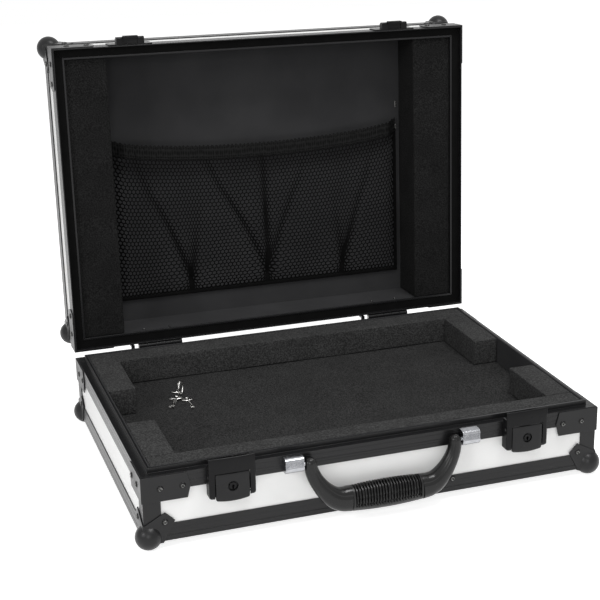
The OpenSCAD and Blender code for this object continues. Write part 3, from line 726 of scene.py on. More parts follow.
class Surface(Enum):
    """Every finish on the case, each built once."""

    # Extruded aluminium, black anodised: satin, with faint die lines along it.
    BLACK_ANODISED = DrawnFinish(
        "black_anodised_extruded_aluminium", "#131314", "#1B1B1C", 60.0, 0.6,
        0.9, 0.06, 0.4, 0.3, 0.06, specular=0.26,
    )
    # Steel pressings, black powder coat: even satin with a fine orange peel.
    BLACK_POWDER = Finish(
        "black_powder_coated_steel", "#121213", "#19191A", 25.0, 0.5,
        0.9, 0.05, 0.25, 0.36, 0.05, specular=0.28,
    )
    # Zinc die castings, black: a little smoother than the pressings.
    BLACK_CAST = Finish(
        "black_coated_zinc_casting", "#0D0D0E", "#131314", 18.0, 0.5,
        0.5, 0.03, 0.2, 0.3, 0.05, specular=0.14,
    )
    # Latch flaps, the same coat a shade lighter, so their outline shows.
    BLACK_ENAMEL = Finish(
        "black_enamelled_zinc", "#121213", "#181819", 18.0, 0.5,
        0.5, 0.03, 0.2, 0.3, 0.05, specular=0.22,
    )
    # Rivet heads, black lacquer: glossy and darker than the plates round them.
    BLACK_LACQUER = Finish(
        "black_lacquered_steel", "#060606", "#0C0C0C", 6.0, 0.5,
        0.6, 0.02, 0.2, 0.14, 0.04, specular=0.22,
    )
    # The rivets' rolled tube ends, where the lacquer has cracked off the steel.
    WORN_STEEL = Finish(
        "worn_rolled_steel", "#8C8C8A", "#0E0E0E", 1.5, 1.0,
        0.5, 0.05, 0.4, 0.3, 0.06, 1.0,
    )
    # High pressure laminate on plywood: white with a soft pebble texture.
    WHITE_LAMINATE = Finish(
        "white_textured_laminate", "#F6F6F5", "#EFEFEE", 45.0, 0.6,
        0.6, 0.05, 0.25, 0.42, 0.05, ior=1.48,
    )
    # Open cell polyurethane foam, knife cut: matt charcoal, with specks of painted shade and light.
    CHARCOAL_FOAM = CellularFinish(
        "charcoal_open_cell_foam", "#303030", "#3A3A3A", 30.0, 0.6,
        1.6, 0.5, 0.9, 0.96, 0.03, specular=0.2,
        pit_shade=0.55, strut_light=1.65,
    )
    # The pocket's floor: the same foam, painted darker for the shade in the pocket, with stronger specks.
    FLOOR_FOAM = CellularFinish(
        "pocket_floor_foam_painted_shade", "#202020", "#292929", 40.0, 0.6,
        1.3, 0.45, 0.9, 0.96, 0.03, specular=0.2,
        pit_shade=0.3, strut_light=2.5,
    )
    # The lid's strips: the same foam with finer cells, painted darker for the shade that falls inside the
    # lid.
    LID_FOAM = CellularFinish(
        "lid_foam_painted_shade", "#151515", "#1D1D1D", 36.0, 0.6,
        1.4, 0.4, 0.9, 0.96, 0.03, specular=0.1,
        pit_shade=0.5, strut_light=1.9,
    )
    # Needle felt, thin: matt dark grey with short fibres.
    DARK_FELT = Finish(
        "dark_grey_needle_felt", "#2E2E2F", "#383839", 55.0, 0.7,
        0.6, 0.1, 0.4, 0.92, 0.04, specular=0.15,
    )
    # Knitted polyester net: black yarn, dull.
    NET_YARN = Finish(
        "black_knitted_polyester", "#0A0A0A", "#101010", 12.0, 0.5,
        0.4, 0.1, 0.4, 0.8, 0.05, specular=0.05,
    )
    # The hem: the net folded over its elastic, so close knit with small dark holes.
    ELASTIC = WovenFinish(
        "black_double_knit_over_elastic", "#060606", "#1C1C1C", 10.0, 0.6,
        2.6, 0.9, 1.0, 0.85, 0.05, specular=0.1,
    )
    # Painted shade: a dull black, put in the lid's groove and behind the latch flaps, that stands in for the
    # shade there.
    SEAL = Finish(
        "dull_black_painted_shade", "#0D0D0D", "#131313", 9.0, 0.5,
        0.5, 0.1, 0.5, 0.9, 0.04, specular=0.05,
    )
    # Chrome plate on a steel pressing: bright, with hairline scratches.
    CHROME = Finish(
        "chrome_plated_steel", "#A4A5A8", "#8B8C90", 5.0, 0.6,
        0.5, 0.03, 0.3, 0.2, 0.06, 1.0,
    )
    # Nickel plated steel, drum polished.
    NICKEL = Finish(
        "nickel_plated_steel", "#CFCECB", "#B4B3B0", 5.0, 0.5,
        0.4, 0.01, 0.15, 0.26, 0.06, 1.0,
    )
    # Injection moulded polypropylene: fine spark texture, soft highlights.
    MOULDED_BLACK = Finish(
        "black_moulded_polypropylene", "#141414", "#1A1A1A", 22.0, 0.5,
        0.5, 0.03, 0.25, 0.22, 0.05, specular=0.28, ior=1.49,
    )
    # Soft thermoplastic rubber on the grip: darker and duller than the arms.
    SOFT_GRIP = Finish(
        "black_thermoplastic_rubber", "#0A0A0A", "#101010", 14.0, 0.5,
        0.4, 0.04, 0.3, 0.36, 0.06, specular=0.34,
    )

    def material(self) -> bpy.types.Material:
        """Returns the material, made on first use."""
        return bpy.data.materials.get(self.value.name) or self.value.build()


# ------------------------------------------------------------------ pieces


def linked(name: str, data: bpy.types.ID) -> bpy.types.Object:
    """Returns a new object of a mesh, lamp or camera, linked to the scene."""
    thing = bpy.data.objects.new(name, data)
    bpy.context.scene.collection.objects.link(thing)
    return thing


def put(
    shape: Shape,
    name: str,
    seat: Seat,
    surface: Surface,
    slot: str,
    replaces: Sequence[str] = (),
    bevel: float = 0.0,
    smooth_angle: float = 35.0,
    body: Optional[str] = None,
) -> bpy.types.Object:
    """Makes a Blender object of a shape, dresses it and seats it on its body.

    Args:
        shape: The shape, in its seat's coordinates.
        name: The piece's name.
        seat: Where it was drawn.
        surface: Its finish.
        slot: The record's material slot; not used.
        replaces: CAD nodes that it stands for.
        bevel: Width of the rounding on sharp edges, in mm.
        smooth_angle: Edges flatter than this, in degrees, are shaded smooth.
        body: Body to ride on, where it isn't the seat's own.

    Returns:
        The object.
    """
    mesh = bpy.data.meshes.new(name)
    points = shape.turned(seat.matrix()).points * MM
    mesh.from_pydata(points.tolist(), [], shape.faces)
    if shape.uv is not None:
        layer = mesh.uv_layers.new(name="mm")
        corners = np.empty(len(mesh.loops), np.int64)
        mesh.loops.foreach_get("vertex_index", corners)
        layer.data.foreach_set("uv", shape.uv[corners].astype(np.float32).ravel())
    work = bmesh.new()
    work.from_mesh(mesh)
    bmesh.ops.recalc_face_normals(work, faces=work.faces)
    work.to_mesh(mesh)
    work.free()
    thing = linked(name, mesh)
    finish_piece(thing, surface, bevel, smooth_angle)
    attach(thing, body or seat.value)
    if replaces:
        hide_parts(*replaces)
    LOG.info("%s: %d faces", name, len(mesh.polygons))
    return thing


def finish_piece(
    thing: bpy.types.Object, surface: Surface, bevel: float, smooth_angle: float
) -> None:
    """Gives a piece its material, its shading and its rounded edges.

    Args:
        thing: The object.
        surface: Its finish.
        bevel: Width of the rounding on sharp edges, in mm.
        smooth_angle: Edges flatter than this, in degrees, are shaded smooth.
    """
    mesh = thing.data
    mesh.materials.clear()
    mesh.materials.append(surface.material())
    mesh.shade_smooth()
    mesh.set_sharp_from_angle(angle=math.radians(smooth_angle))
    if bevel:
        rounding = thing.modifiers.new("rounding", "BEVEL")
        rounding.width = bevel * MM
        rounding.segments = 2
        rounding.limit_method = "ANGLE"
        rounding.angle_limit = BEVEL_ANGLE
        rounding.harden_normals = True
        rounding.use_clamp_overlap = True


def dressed_copy(node: str, name: str, surface: Surface, slot: str, bevel: float) -> None:
    """Replaces a CAD node by a copy whose loose triangles are merged and rounded.

    Args:
        node: The CAD node.
        name: The piece's name.
        surface: Its finish.
        slot: The record's material slot; not used.
        bevel: Width of the rounding on sharp edges, in mm.
    """
    source = FRAME["nodes"][node]
    mesh = source.data.copy()
    mesh.name = name
    work = bmesh.new()
    work.from_mesh(mesh)
    bmesh.ops.remove_doubles(work, verts=work.verts, dist=MERGE_DISTANCE)
    bmesh.ops.dissolve_limit(work, angle_limit=FLAT_ANGLE, verts=work.verts, edges=work.edges)
    work.to_mesh(mesh)
    work.free()
    thing = linked(name, mesh)
    finish_piece(thing, surface, bevel, COPY_SMOOTH_DEGREES)
    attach(thing, source["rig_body"])
    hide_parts(node)
    LOG.info("%s: copy of %s", name, node)


def dress_node(node: str, surface: Surface) -> None:
    """Gives a CAD node that stays in view its material.

    Args:
        node: The CAD node.
        surface: Its finish.
    """
    thing = FRAME["nodes"][node]
    thing.data.materials.clear()
    thing.data.materials.append(surface.material())


# ------------------------------------------------------ profiles and boards


@dataclass
class Profiles:
    """The extruded aluminium profiles, with their grooves, and the boards in them.

    Attributes:
        groove: Depth of the decorative V grooves.
        edge_grooves: Heights of the grooves on an edge profile's leg.
        rim_grooves: Heights of the grooves on the base's closing profile.
        lid_rim_grooves: Heights of the grooves on the lid's closing profile.
        shade_strip: Thickness of the dull black strip that paints the shade in the lid's groove.
        shade_strip_play: How far the strip stays clear of the groove's sides.
        shade_strip_sunk: How far the strip reaches into the groove's bottom.
        bevel: Rounding of the profiles' edges.
    """

    groove: float = 0.35
    groove_width: float = 0.7
    edge_grooves: tuple = (5.2, 12.2)
    rim_grooves: tuple = (4.6, 7.2, 12.6)
    lid_rim_grooves: tuple = (4.6, 9.0, 16.0)
    shade_strip: float = 0.4
    shade_strip_play: float = 0.02
    shade_strip_sunk: float = 0.05
    bevel: float = 0.3

    def grooved(self, low: float, high: float, places: Sequence[float]) -> list:
        """Returns the outer face of a leg from low to high, with V grooves.

        Args:
            low: Lower end of the leg.
            high: Upper end.
            places: Heights of the grooves above the lower end.

        Returns:
            Corners as (depth, height), from the bottom up.
        """
        corners = [(0.0, low)]
        for place in places:
            half = self.groove_width / 2
            corners += [(0.0, low + place - half), (self.groove, low + place), (0.0, low + place + half)]
        return corners + [(0.0, high)]

    def edge_angle(self) -> list:
        """Returns the angle along an outer edge, its flat leg at zero."""
        leg, skin = CASE.edge_leg, CASE.skin
        outer = self.grooved(0.0, leg, self.edge_grooves)
        return outer + [(skin, leg), (skin, skin), (leg, skin), (leg, 0.0)]

    def base_rim(self) -> list:
        """Returns the base's closing profile: outer leg, web, tongue and inner leg."""
        low, top, skin = CASE.rim_low, CASE.base_height, CASE.skin
        outer = self.grooved(low, top, self.rim_grooves)
        board, tongue, peak = CASE.board_in, CASE.tongue_in, CASE.foam_top
        outer += [(board, top), (board, peak), (tongue, peak), (tongue, low), (board, low)]
        return outer + [(board, top - skin), (skin, top - skin), (skin, low)]

    def lid_rim(self) -> list:
        """Returns the lid's closing profile: outer leg, groove, lip and inner leg."""
        leg, skin, roof, low = CASE.lid_rim_leg, CASE.skin, CASE.rim_roof, CASE.lip_low
        board, tongue, web = CASE.board_in, CASE.tongue_in, CASE.groove_top
        lip_out = tongue + CASE.tongue_gap
        lip_in = lip_out + CASE.tongue
        outer = self.grooved(0.0, leg, self.lid_rim_grooves)
        outer += [(skin, leg), (skin, roof), (board, roof), (board, leg)]
        outer += [(tongue, leg), (tongue, roof), (lip_in, roof), (lip_in, low)]
        return outer + [(lip_out, low), (lip_out, web), (skin, web), (skin, 0.0)]

    def groove_shade_strip(self) -> list:
        """Returns the flat strip of painted shade on the groove's bottom, between the leg and the lip."""
        low, high = CASE.groove_top - self.shade_strip, CASE.groove_top + self.shade_strip_sunk
        near, far = CASE.skin + self.shade_strip_play, CASE.tongue_in + CASE.tongue_gap - self.shade_strip_play
        return [(near, high), (near, low), (far, low), (far, high)]

    def build(self) -> None:
        """Builds and dresses the profiles and boards of base and lid."""
        angle = four_bars(self.edge_angle())
        finish = (Surface.BLACK_ANODISED, "profile")
        put(angle, "base_edge_extrusions", Seat.BASE, *finish, ["base_edge_profiles"], self.bevel)
        lid_angle = angle.mirrored(2, CASE.lid_height / 2)
        put(lid_angle, "lid_edge_extrusions", Seat.LID, *finish, ["lid_edge_profiles"], self.bevel)
        rim = four_bars(self.base_rim())
        put(rim, "base_rim_extrusions", Seat.BASE, *finish, ["base_rim_profiles"], self.bevel)
        lid_rim = four_bars(self.lid_rim())
        put(lid_rim, "lid_rim_extrusions", Seat.LID, *finish, ["lid_rim_profiles"], self.bevel)
        # A dull black strip paints the shade in the lid's groove.
        put(four_bars(self.groove_shade_strip()), "lid_groove_shade_strip", Seat.LID, Surface.SEAL, "profile")
        coat = (Surface.BLACK_POWDER, "profile", self.bevel)
        for part in ("base", "lid"):
            dressed_copy(f"{part}_corner_posts", f"{part}_corner_angles", *coat)
        for board in ("base_wall_boards", "lid_wall_boards", "base_bottom_board", "lid_top_board"):
            dress_node(board, Surface.WHITE_LAMINATE)


# ---------------------------------------------------------------- linings


@dataclass
class Linings:
    """The felt on the walls and the sheet on the lid's board.

    Attributes:
        sheet_wave: How far the lid's sheet lies in slow waves.
    """

    sheet_wave: float = 0.12

    def dress_walls(
        self, corners: Sequence, name: str, seat: Seat, node: str
    ) -> None:
        """Lays one felt lining on all four walls.

        Args:
            corners: Corners of its section, as (depth, height).
            name: The piece's name.
            seat: Where it is drawn.
            node: CAD node that it stands for.
        """
        felt = put(four_bars(corners), name, seat, Surface.DARK_FELT, "lining", [node], 0.3)

    def build(self) -> None:
        """Builds the linings of base and lid."""
        board, tongue, inner = CASE.board_in, CASE.tongue_in, CASE.lining_in
        low, rim, peak = CASE.panel_in, CASE.rim_low, CASE.foam_top
        base = [(board, low), (board, rim), (tongue, rim), (tongue, peak), (inner, peak), (inner, low)]
        self.dress_walls(
            base, "base_wall_felt", Seat.BASE, "base_lining"
        )
        roof, leg, top = CASE.rim_roof, CASE.lid_rim_leg, CASE.lid_sheet_z
        lid = [(tongue, roof), (tongue, leg), (board, leg), (board, top), (inner, top), (inner, roof)]
        self.dress_walls(lid, "lid_wall_felt", Seat.LID, "lid_lining")
        self.build_sheet()

    def build_sheet(self) -> None:
        """Builds the lid's sheet: a thin felt that lies flat but for a slow wave."""
        half_x, low_y = CASE.width / 2 - CASE.board_in, CASE.board_in
        high_y, top = CASE.depth - low_y, CASE.lid_sheet_z + CASE.sheet
        x, y = np.meshgrid(np.linspace(-half_x, half_x, 90), np.linspace(low_y, high_y, 64))
        wave = self.sheet_wave * (np.sin(x / 37 + y / 61) + np.sin(y / 29 - x / 83))
        face = np.stack((x, y, CASE.lid_sheet_z + wave * 0.5), axis=-1)
        edge = np.concatenate((face[0], face[1:-1, -1], face[-1, ::-1], face[-2:0:-1, 0]))
        back = edge.copy()
        back[:, 2] = top
        skirt = grid_shape(np.stack((edge, back)), wrap_columns=True)
        skirt.faces.append(tuple(range(len(edge), 2 * len(edge))))
        welded = welded_shape(joined([grid_shape(face), skirt]))
        sheet = put(
            welded, "lid_felt_sheet", Seat.LID, Surface.DARK_FELT, "lining", ["lid_lining_sheet"]
        )


# ------------------------------------------------------------------- foam


@dataclass
class FoamInsert:
    """The foam in the base, which leaves the laptop's pocket, and the lid's strips.

    Attributes:
        floor_top: Level of the pocket's floor.
        front: Thickness of the strip before the pocket.
        back: Thickness of the strip behind it.
        notch_from: Where the finger notches begin, behind the pocket's front.
        notch: Length of the notches.
        lid_strip: Width of the lid's strips.
        lid_set: How far their lower faces stand back from the parting plane.
        seam: How far each block stays inside its outline.
        radius: Rounding of a block's edges.
        step: Longest side of a cell on its faces.
        wave: How far its faces are uneven.
    """

    floor_top: float = 42.5
    pocket_width: float = 381.0
    front: float = 22.0
    back: float = 28.5
    notch_from: float = 84.0
    notch: float = 87.0
    lid_strip: float = 45.5
    lid_set: float = 9.0
    seam: float = 0.12
    radius: float = 1.3
    step: float = 9.0
    wave: float = 0.35

    def block(self, low: Sequence, high: Sequence, seed: float) -> Shape:
        """Makes a foam block with soft edges and slightly uneven faces.

        The unevenness is the sum of two slow sines of the place, and it fades to
        nothing at the block's underside.

        Args:
            low: Lowest corner.
            high: Highest corner.
            seed: Phase that differs from block to block.

        Returns:
            The block.
        """
        low, high = np.array(low, float) + self.seam, np.array(high, float) - self.seam
        shape = softened_box(low, high, self.radius, self.step)
        p = shape.points
        swell = np.sin(p[:, 0] / 23 + p[:, 1] / 31 + seed) + np.sin(
            p[:, 1] / 17 - p[:, 2] / 13 + 2.1 * seed
        )
        middle, half = (low + high) / 2, (high - low) / 2
        outward = ((p - middle) / half) ** 5
        shape.points = p - outward * (np.abs(swell)[:, None] * self.wave * 0.5)
        return shape

    def build(self) -> None:
        """Builds the blocks of base and lid."""
        inner, half = CASE.lining_in, CASE.inner_width / 2
        back_y, top, floor = CASE.depth - inner, CASE.foam_top, self.floor_top
        pocket_y0, pocket_y1 = inner + self.front, back_y - self.back
        notch_y0 = pocket_y0 + self.notch_from
        notch_y1 = notch_y0 + self.notch
        pocket_x = self.pocket_width / 2
        pieces = {
            "foam_floor": ([(-half, inner, CASE.panel_in), (half, back_y, floor)],),
            "foam_front_strip": ([(-half, inner, floor), (half, pocket_y0, top)],),
            "foam_back_strip": ([(-half, pocket_y1, floor), (half, back_y, top)],),
            "foam_side_blocks": tuple(
                [(min(a, b), y0, floor), (max(a, b), y1, top)]
                for a, b in ((-half, -pocket_x), (pocket_x, half))
                for y0, y1 in ((pocket_y0, notch_y0), (notch_y1, pocket_y1))
            ),
        }
        for number, (node, blocks) in enumerate(pieces.items()):
            shape = joined([self.block(*b, number + 1.7 * i) for i, b in enumerate(blocks)])
            # The pocket's floor takes the foam that is painted darker for the shade in the pocket.
            surface = Surface.FLOOR_FOAM if node == "foam_floor" else Surface.CHARCOAL_FOAM
            foam = put(shape, f"cut_{node}", Seat.BASE, surface, "foam", [node], smooth_angle=60.0)
        for sign, name in ((-1, "left"), (1, "right")):
            edges = sorted((sign * half, sign * (half - self.lid_strip)))
            low = (edges[0], inner, self.lid_set)
            strip = self.block(low, (edges[1], back_y, CASE.lid_sheet_z), 3.0 + sign)
            # The lid's strips take the foam that is painted darker for the shade inside the lid.
            foam = put(
                strip, f"lid_foam_strip_{name}", Seat.LID, Surface.LID_FOAM, "foam",
                [f"lid_foam_{name}"], smooth_angle=60.0,
            )


# --------------------------------------------------------------- hardware


@dataclass
class Rivets:
    """Domed tubular rivets: lacquered heads with a bare, split eye in each.

    Attributes:
        radius: Radius of a head.
        height: Height of a head's dome.
        sides: Number of sides of a head.
        splits: Number of splits in a tube's end.
        split_depth: How much the split edge rises and falls, as a share.
        inner_scale: Size of the rivets inside the lid.
        wing: Reach of the ball corners' rivets from the corner.
        brace: Reaches of the braces' rivets from the corner.
        foot: Places across of the two low rivets on the front and the back, and their level.
        hinge: Middle of a hinge, half its rivets' distance, and their level.
        hinge_leaf: Thickness of a hinge's leaf.
        catch: Middle of a catch, half its rivets' distance, and their level.
    """

    radius: float = 3.1
    height: float = 1.2
    sides: int = 28
    splits: int = 4
    split_depth: float = 0.3
    inner_scale: float = 0.58
    wing: float = 19.5
    brace: tuple = (16.65, 37.35)
    base_brace_z: float = 53.0
    lid_brace_z: float = 13.0
    foot: tuple = (-53.4, 74.3, 13.5)
    hinge: tuple = (136.0, 14.7, 54.6)
    hinge_leaf: float = 1.4
    catch: tuple = (148.5, 9.735, 16.0)

    def head(self) -> Shape:
        """Returns a head, its seat at zero and its dome towards +Z."""
        share = ((0, 0.25), (0.3, 0.25), (0.42, 0.6), (0.55, 0.75), (0.66, 0.8))
        share += ((0.82, 0.66), (0.95, 0.36), (1.0, 0.1), (1.0, -0.15), (0, -0.15))
        return revolved([(a * self.radius, b * self.height) for a, b in share], self.sides)

    def eye(self) -> Shape:
        """Returns the tube's end in a head: a ring whose edge is split in four.

        The ring's height rises and falls with the cosine of the angle times the splits.
        """
        share = np.array(
            ((0.01, 0.2), (0.3, 0.2), (0.4, 0.85), (0.5, 0.95), (0.6, 0.85), (0.64, 0.2))
        )
        angle = full_turn(self.sides)
        split = 1 + self.split_depth * np.cos(self.splits * angle + 0.6)
        points = np.empty((len(share), self.sides, 3))
        points[..., 0] = self.radius * share[:, :1] * np.cos(angle)
        points[..., 1] = self.radius * share[:, :1] * np.sin(angle)
        points[..., 2] = self.height * share[:, 1:] * split
        return grid_shape(points, wrap_columns=True, capped=True)

    def spots(self, base: bool) -> list:
        """Returns (place, way, scale) of every rivet on the base or the lid."""
        places = []
        brace_z, low, down = (self.base_brace_z, 0.0, -1) if base else (self.lid_brace_z, CASE.lid_height, 1)
        for sx in (-1, 1):
            for back in (0, 1):
                sy, plate = 1 if back else -1, CASE.plate
                x0, y0 = sx * CASE.width / 2, back * CASE.depth
                wing_xy = (x0 - sx * self.wing, y0 - sy * self.wing)
                places.append(((*wing_xy, low + down * plate), (0, 0, down), 1.0))
                for reach, z in [(self.wing, low - down * self.wing)] + [(b, brace_z) for b in self.brace]:
                    places.append(((x0 - sx * reach, y0 + sy * plate, z), (0, sy, 0), 1.0))
                    places.append(((x0 + sx * plate, y0 - sy * reach, z), (sx, 0, 0), 1.0))
                if base:
                    foot_x = self.foot[0] if sx < 0 else self.foot[1]
                    places.append(((foot_x, y0, self.foot[2]), (0, sy, 0), 1.0))
            for s in (-1, 1):
                x = sx * self.hinge[0] + s * self.hinge[1]
                if base:
                    on_leaf = (x, CASE.depth + self.hinge_leaf, self.hinge[2])
                    places.append((on_leaf, (0, 1, 0), 1.0))
                    continue
                small = self.inner_scale
                places.append(((x, CASE.depth - CASE.lining_in, self.catch[2]), (0, -1, 0), small))
                x = sx * self.catch[0] + s * self.catch[1]
                places.append(((x, CASE.lining_in, self.catch[2]), (0, 1, 0), small))
        return places

    def build(self) -> None:
        """Builds the rivets of base and lid."""
        for base, seat, name in ((True, Seat.BASE, "base"), (False, Seat.LID, "lid")):
            spots = self.spots(base)
            turns = [aimed(*spot) for spot in spots]
            head, eye = self.head(), self.eye()
            heads = joined([head.turned(turn) for turn in turns])
            eyes = joined([eye.turned(turn) for turn in turns])
            put(heads, f"{name}_rivet_heads", seat, Surface.BLACK_LACQUER, "hardware", [f"{name}_rivets"])
            put(eyes, f"{name}_rivet_eyes", seat, Surface.WORN_STEEL, "bright")


@dataclass
class Pressings:
    """Ball corners, braces and hinges: the CAD shapes with their edges rounded."""

    def build(self) -> None:
        """Dresses the pressings of base and lid."""
        steel = (Surface.BLACK_POWDER, "hardware")
        for part in ("base", "lid"):
            dressed_copy(f"{part}_ball_corners", f"{part}_ball_pressings", *steel, 0.3)
            dressed_copy(f"{part}_corner_braces", f"{part}_brace_pressings", *steel, 0.35)
            dressed_copy(f"hinge_{part}_leaves", f"hinge_{part}_plates", *steel, 0.2)
        dress_node("hinge_pins", Surface.NICKEL)


@dataclass
class Latches:
    """Two snap latches with their locks, catches, pins and springs.

    Attributes:
        place: Distance of a latch's middle from the case's.
        half: Half width of the housing.
        out: How far its front stands out.
        low: Its lower end.
        top: Its upper end, on the lid.
        crown: How far its front falls back at the sides.
        corner: Radius where the front meets the side walls.
        window_half: Half width of the window that the flap fills.
        window_top: Upper end of the window.
        flange_gap: How far out the side walls end where they pass the catch's flange.
        plate: Half width and top of the dark back plate, which paints the shade in the gaps round the flap.
        tail: Half width and lower end of its tail.
        flange: Inner and outer face, depth and top of its side flanges.
        lever_bow: How far the flap's lower edge is bowed.
        pin: Place of the lever's pin, as (out, up).
        hub: Radius of the lever's barrel round the pin.
        barrel_half: Half length of the barrel and of its web.
        pawl_half: Half width of the pawl.
        lock_radius: Radius of the lock's plug.
        lock_play: Clearance round the plug.
        lock_reach: Where the plug ends, counted out from the wall.
        keyhole: Radius of the keyhole, half width of its slot and the slot's reach.
    """

    place: float = 148.5
    half: float = 21.97
    out: float = 11.5
    low: float = 38.0
    top: float = 77.5
    wall: float = 1.5
    crown: float = 1.1
    corner: float = 1.3
    window_half: float = 16.75
    window_top: float = 62.9
    flange_gap: float = 1.6
    plate: tuple = (20.4, 65.0)
    tail: tuple = (15.4, 35.4)
    flange: tuple = (16.9, 17.4, 5.4, 61.0)
    lever_half: float = 15.95
    lever_low: float = 34.5
    lever_top: float = 62.1
    lever_bow: float = 1.6
    lever_out: float = 11.2
    lever_wall: float = 2.0
    pin: tuple = (7.0, 59.3)
    hub: float = 3.2
    barrel_half: float = 16.2
    pawl_half: float = 6.0
    lock_z: float = 49.5
    lock_radius: float = 5.0
    lock_play: float = 0.05
    lock_reach: float = 5.5
    keyhole: tuple = (1.35, 0.75, 3.0)

    def front(self, x: np.ndarray, z: np.ndarray) -> np.ndarray:
        """Returns how far the housing's front stands out.

        It falls back towards the sides with the square of x, and rolls in over
        the last 3 mm at its lower and upper edges.
        """
        low = np.clip(1 - (z - self.low) / 3, 0, 1) ** 2
        high = np.clip(1 - (self.top - z) / 2.5, 0, 1) ** 2
        return self.out - self.crown * (x / self.half) ** 2 - 1.3 * low - 0.8 * high

    def housing(self) -> Shape:
        """Makes the housing: a wall section carried round the window as a U.

        Each station has a point on the window's edge, a point on the outer edge
        and the way inwards from there. Between them the section runs over the
        front, round a quarter circle, back along the side wall and home inside.
        """
        leg = np.concatenate((self.low + 2.2 * (1 - np.cos(np.linspace(0, 1.57, 6))), (44, 52, 58, 65.6)))
        leg = np.concatenate((leg, (65.62, 70, 70.02, 74, self.top)))
        rise = np.clip(1 - (leg - self.low) / 2.2, 0, 1)
        outer_x = self.half - 2.2 * (1 - np.sqrt(1 - rise**2))
        window_z = self.low + (leg - self.low) * (self.window_top - self.low) / (self.top - self.low)
        n = len(leg)
        right_in = np.stack((np.full(n, self.window_half), window_z), axis=-1)
        right_out = np.stack((outer_x, leg), axis=-1)
        depth = np.where(leg < 65.61, 0.02, np.where(leg < 70.01, self.flange_gap, -1.0))
        side = np.tile((-1.0, 0.0), (n, 1))
        side[-1] = (-1.0, -1.0)
        share = np.linspace(1, -1, 17)
        top_in = np.stack((share * self.window_half, np.full(17, self.window_top)), axis=-1)
        top_out = np.stack((share * self.half, np.full(17, self.top)), axis=-1)
        down = np.tile((0.0, -1.0), (17, 1))
        down[0], down[-1] = (-1.0, -1.0), (1.0, -1.0)
        flip = np.array((-1.0, 1.0))
        inner = np.concatenate((right_in, top_in, right_in[::-1] * flip))
        outer = np.concatenate((right_out, top_out, right_out[::-1] * flip))
        inward = np.concatenate((side, down, side[::-1] * flip))
        back = np.concatenate((depth, np.full(17, -1.0), depth[::-1]))
        return self.carried(inner, outer, inward, back)

    def carried(
        self, inner: np.ndarray, outer: np.ndarray, inward: np.ndarray, back: np.ndarray
    ) -> Shape:
        """Carries the housing's section along its stations.

        Args:
            inner: Points (x, z) on the window's edge.
            outer: Points (x, z) on the outer edge.
            inward: Ways from the outer edge into the wall.
            back: How far out the side wall ends; below zero there is no wall.
        """
        turn = np.linspace(1.57, 0.0, 5)
        rows = []
        for share in (0.0, 0.35, 0.7):
            flat = inner + (outer + inward * self.corner - inner) * share
            rows.append((flat, self.front(flat[:, 0], flat[:, 1])))
        edge = self.front(outer[:, 0], outer[:, 1])
        for angle in turn:
            flat = outer + inward * self.corner * (1 - math.cos(angle))
            rows.append((flat, edge - self.corner * (1 - math.sin(angle))))
        inside = outer + inward * self.wall
        end = np.where(back < 0, edge - self.wall, back)
        rows.append((outer, end))
        rows.append((inside, end))
        rows.append((inside, edge - self.wall - 0.02))
        for share in (0.7, 0.35, 0.0):
            flat = inner + (inside - inner) * share
            rows.append((flat, self.front(flat[:, 0], flat[:, 1]) - self.wall))
        points = np.stack([np.stack((f[:, 0], -o, f[:, 1]), axis=-1) for f, o in rows], axis=1)
        return grid_shape(points, wrap_columns=True, capped=True)

    def lever_edge(self, angle: np.ndarray) -> np.ndarray:
        """Returns the lever's reach from the lock's middle at each angle.

        The outline is the smooth least of the distances to its two sides, its
        top edge and the circle of its lower arc, so its corners come out round.
        """
        arc = (self.lever_half**2 + self.lever_bow**2) / (2 * self.lever_bow)
        drop = self.lock_z - self.lever_low
        sine, cosine = np.sin(angle), np.cos(angle)
        rise = arc - drop
        bottom = rise * sine + np.sqrt((rise * sine) ** 2 + arc**2 - rise**2)
        sides = self.lever_half / np.maximum(np.abs(cosine), 1e-6)
        upper = (self.lever_top - self.lock_z) / np.maximum(sine, 1e-6)
        power = 26.0
        return (sides**-power + upper**-power + bottom**-power) ** (-1 / power)

    def lever(self) -> Shape:
        """Makes the lever: its flap with the lock's bore, its hub and its pawl.

        The flap is a grid of angle round the bore by rings, which run from the
        bore over the front to the edge and back behind.
        """
        angle = full_turn(180)
        reach = self.lever_edge(angle)
        bore, soft = self.lock_radius + self.lock_play, 0.8
        way = np.stack((np.cos(angle), np.sin(angle)), axis=-1)
        rings = [(bore, 0.0), (bore + 0.3, 0.0)]
        rings += [(bore + (reach - soft - bore) * s, 0.0) for s in (0.35, 0.7, 1.0)]
        rings += [(reach - soft * (1 - math.sin(t)), soft * (1 - math.cos(t))) for t in (0.5, 1.0, 1.57)]
        rings += [(reach, self.lever_wall), (bore, self.lever_wall)]
        points = np.empty((len(rings), len(angle), 3))
        middle = (self.lever_low + self.lever_top) / 2
        for row, (radius, back) in enumerate(rings):
            flat = way * np.broadcast_to(radius, angle.shape)[:, None]
            height = flat[:, 1] + self.lock_z
            bulge = 0.3 * (1 - ((height - middle) / 13.9) ** 2)
            crown = self.crown * (flat[:, 0] / self.half) ** 2
            out = self.lever_out + bulge - crown - back
            points[row] = np.stack((flat[:, 0], -out, height), axis=-1)
        flap = grid_shape(points, wrap_rows=True, wrap_columns=True)
        (u, z), end = self.pin, self.barrel_half
        barrel = revolved([(0, -end), (self.hub, -end), (self.hub, end), (0, end)], 32)
        barrel = barrel.turned(aimed((0, -u, z), (1, 0, 0)))
        web = extruded([(u, z + 2.9), (9.6, z + 2.6), (9.6, z - 5), (u + 1, z - 3)], -end, end)
        hook = [(5.0, z), (9.0, z), (6.6, 64.2), (6.6, 66.2), (8.3, 66.2), (7.5, 68.2), (4.6, 68.2)]
        return joined([flap, barrel, web, extruded(hook, -self.pawl_half, self.pawl_half)])

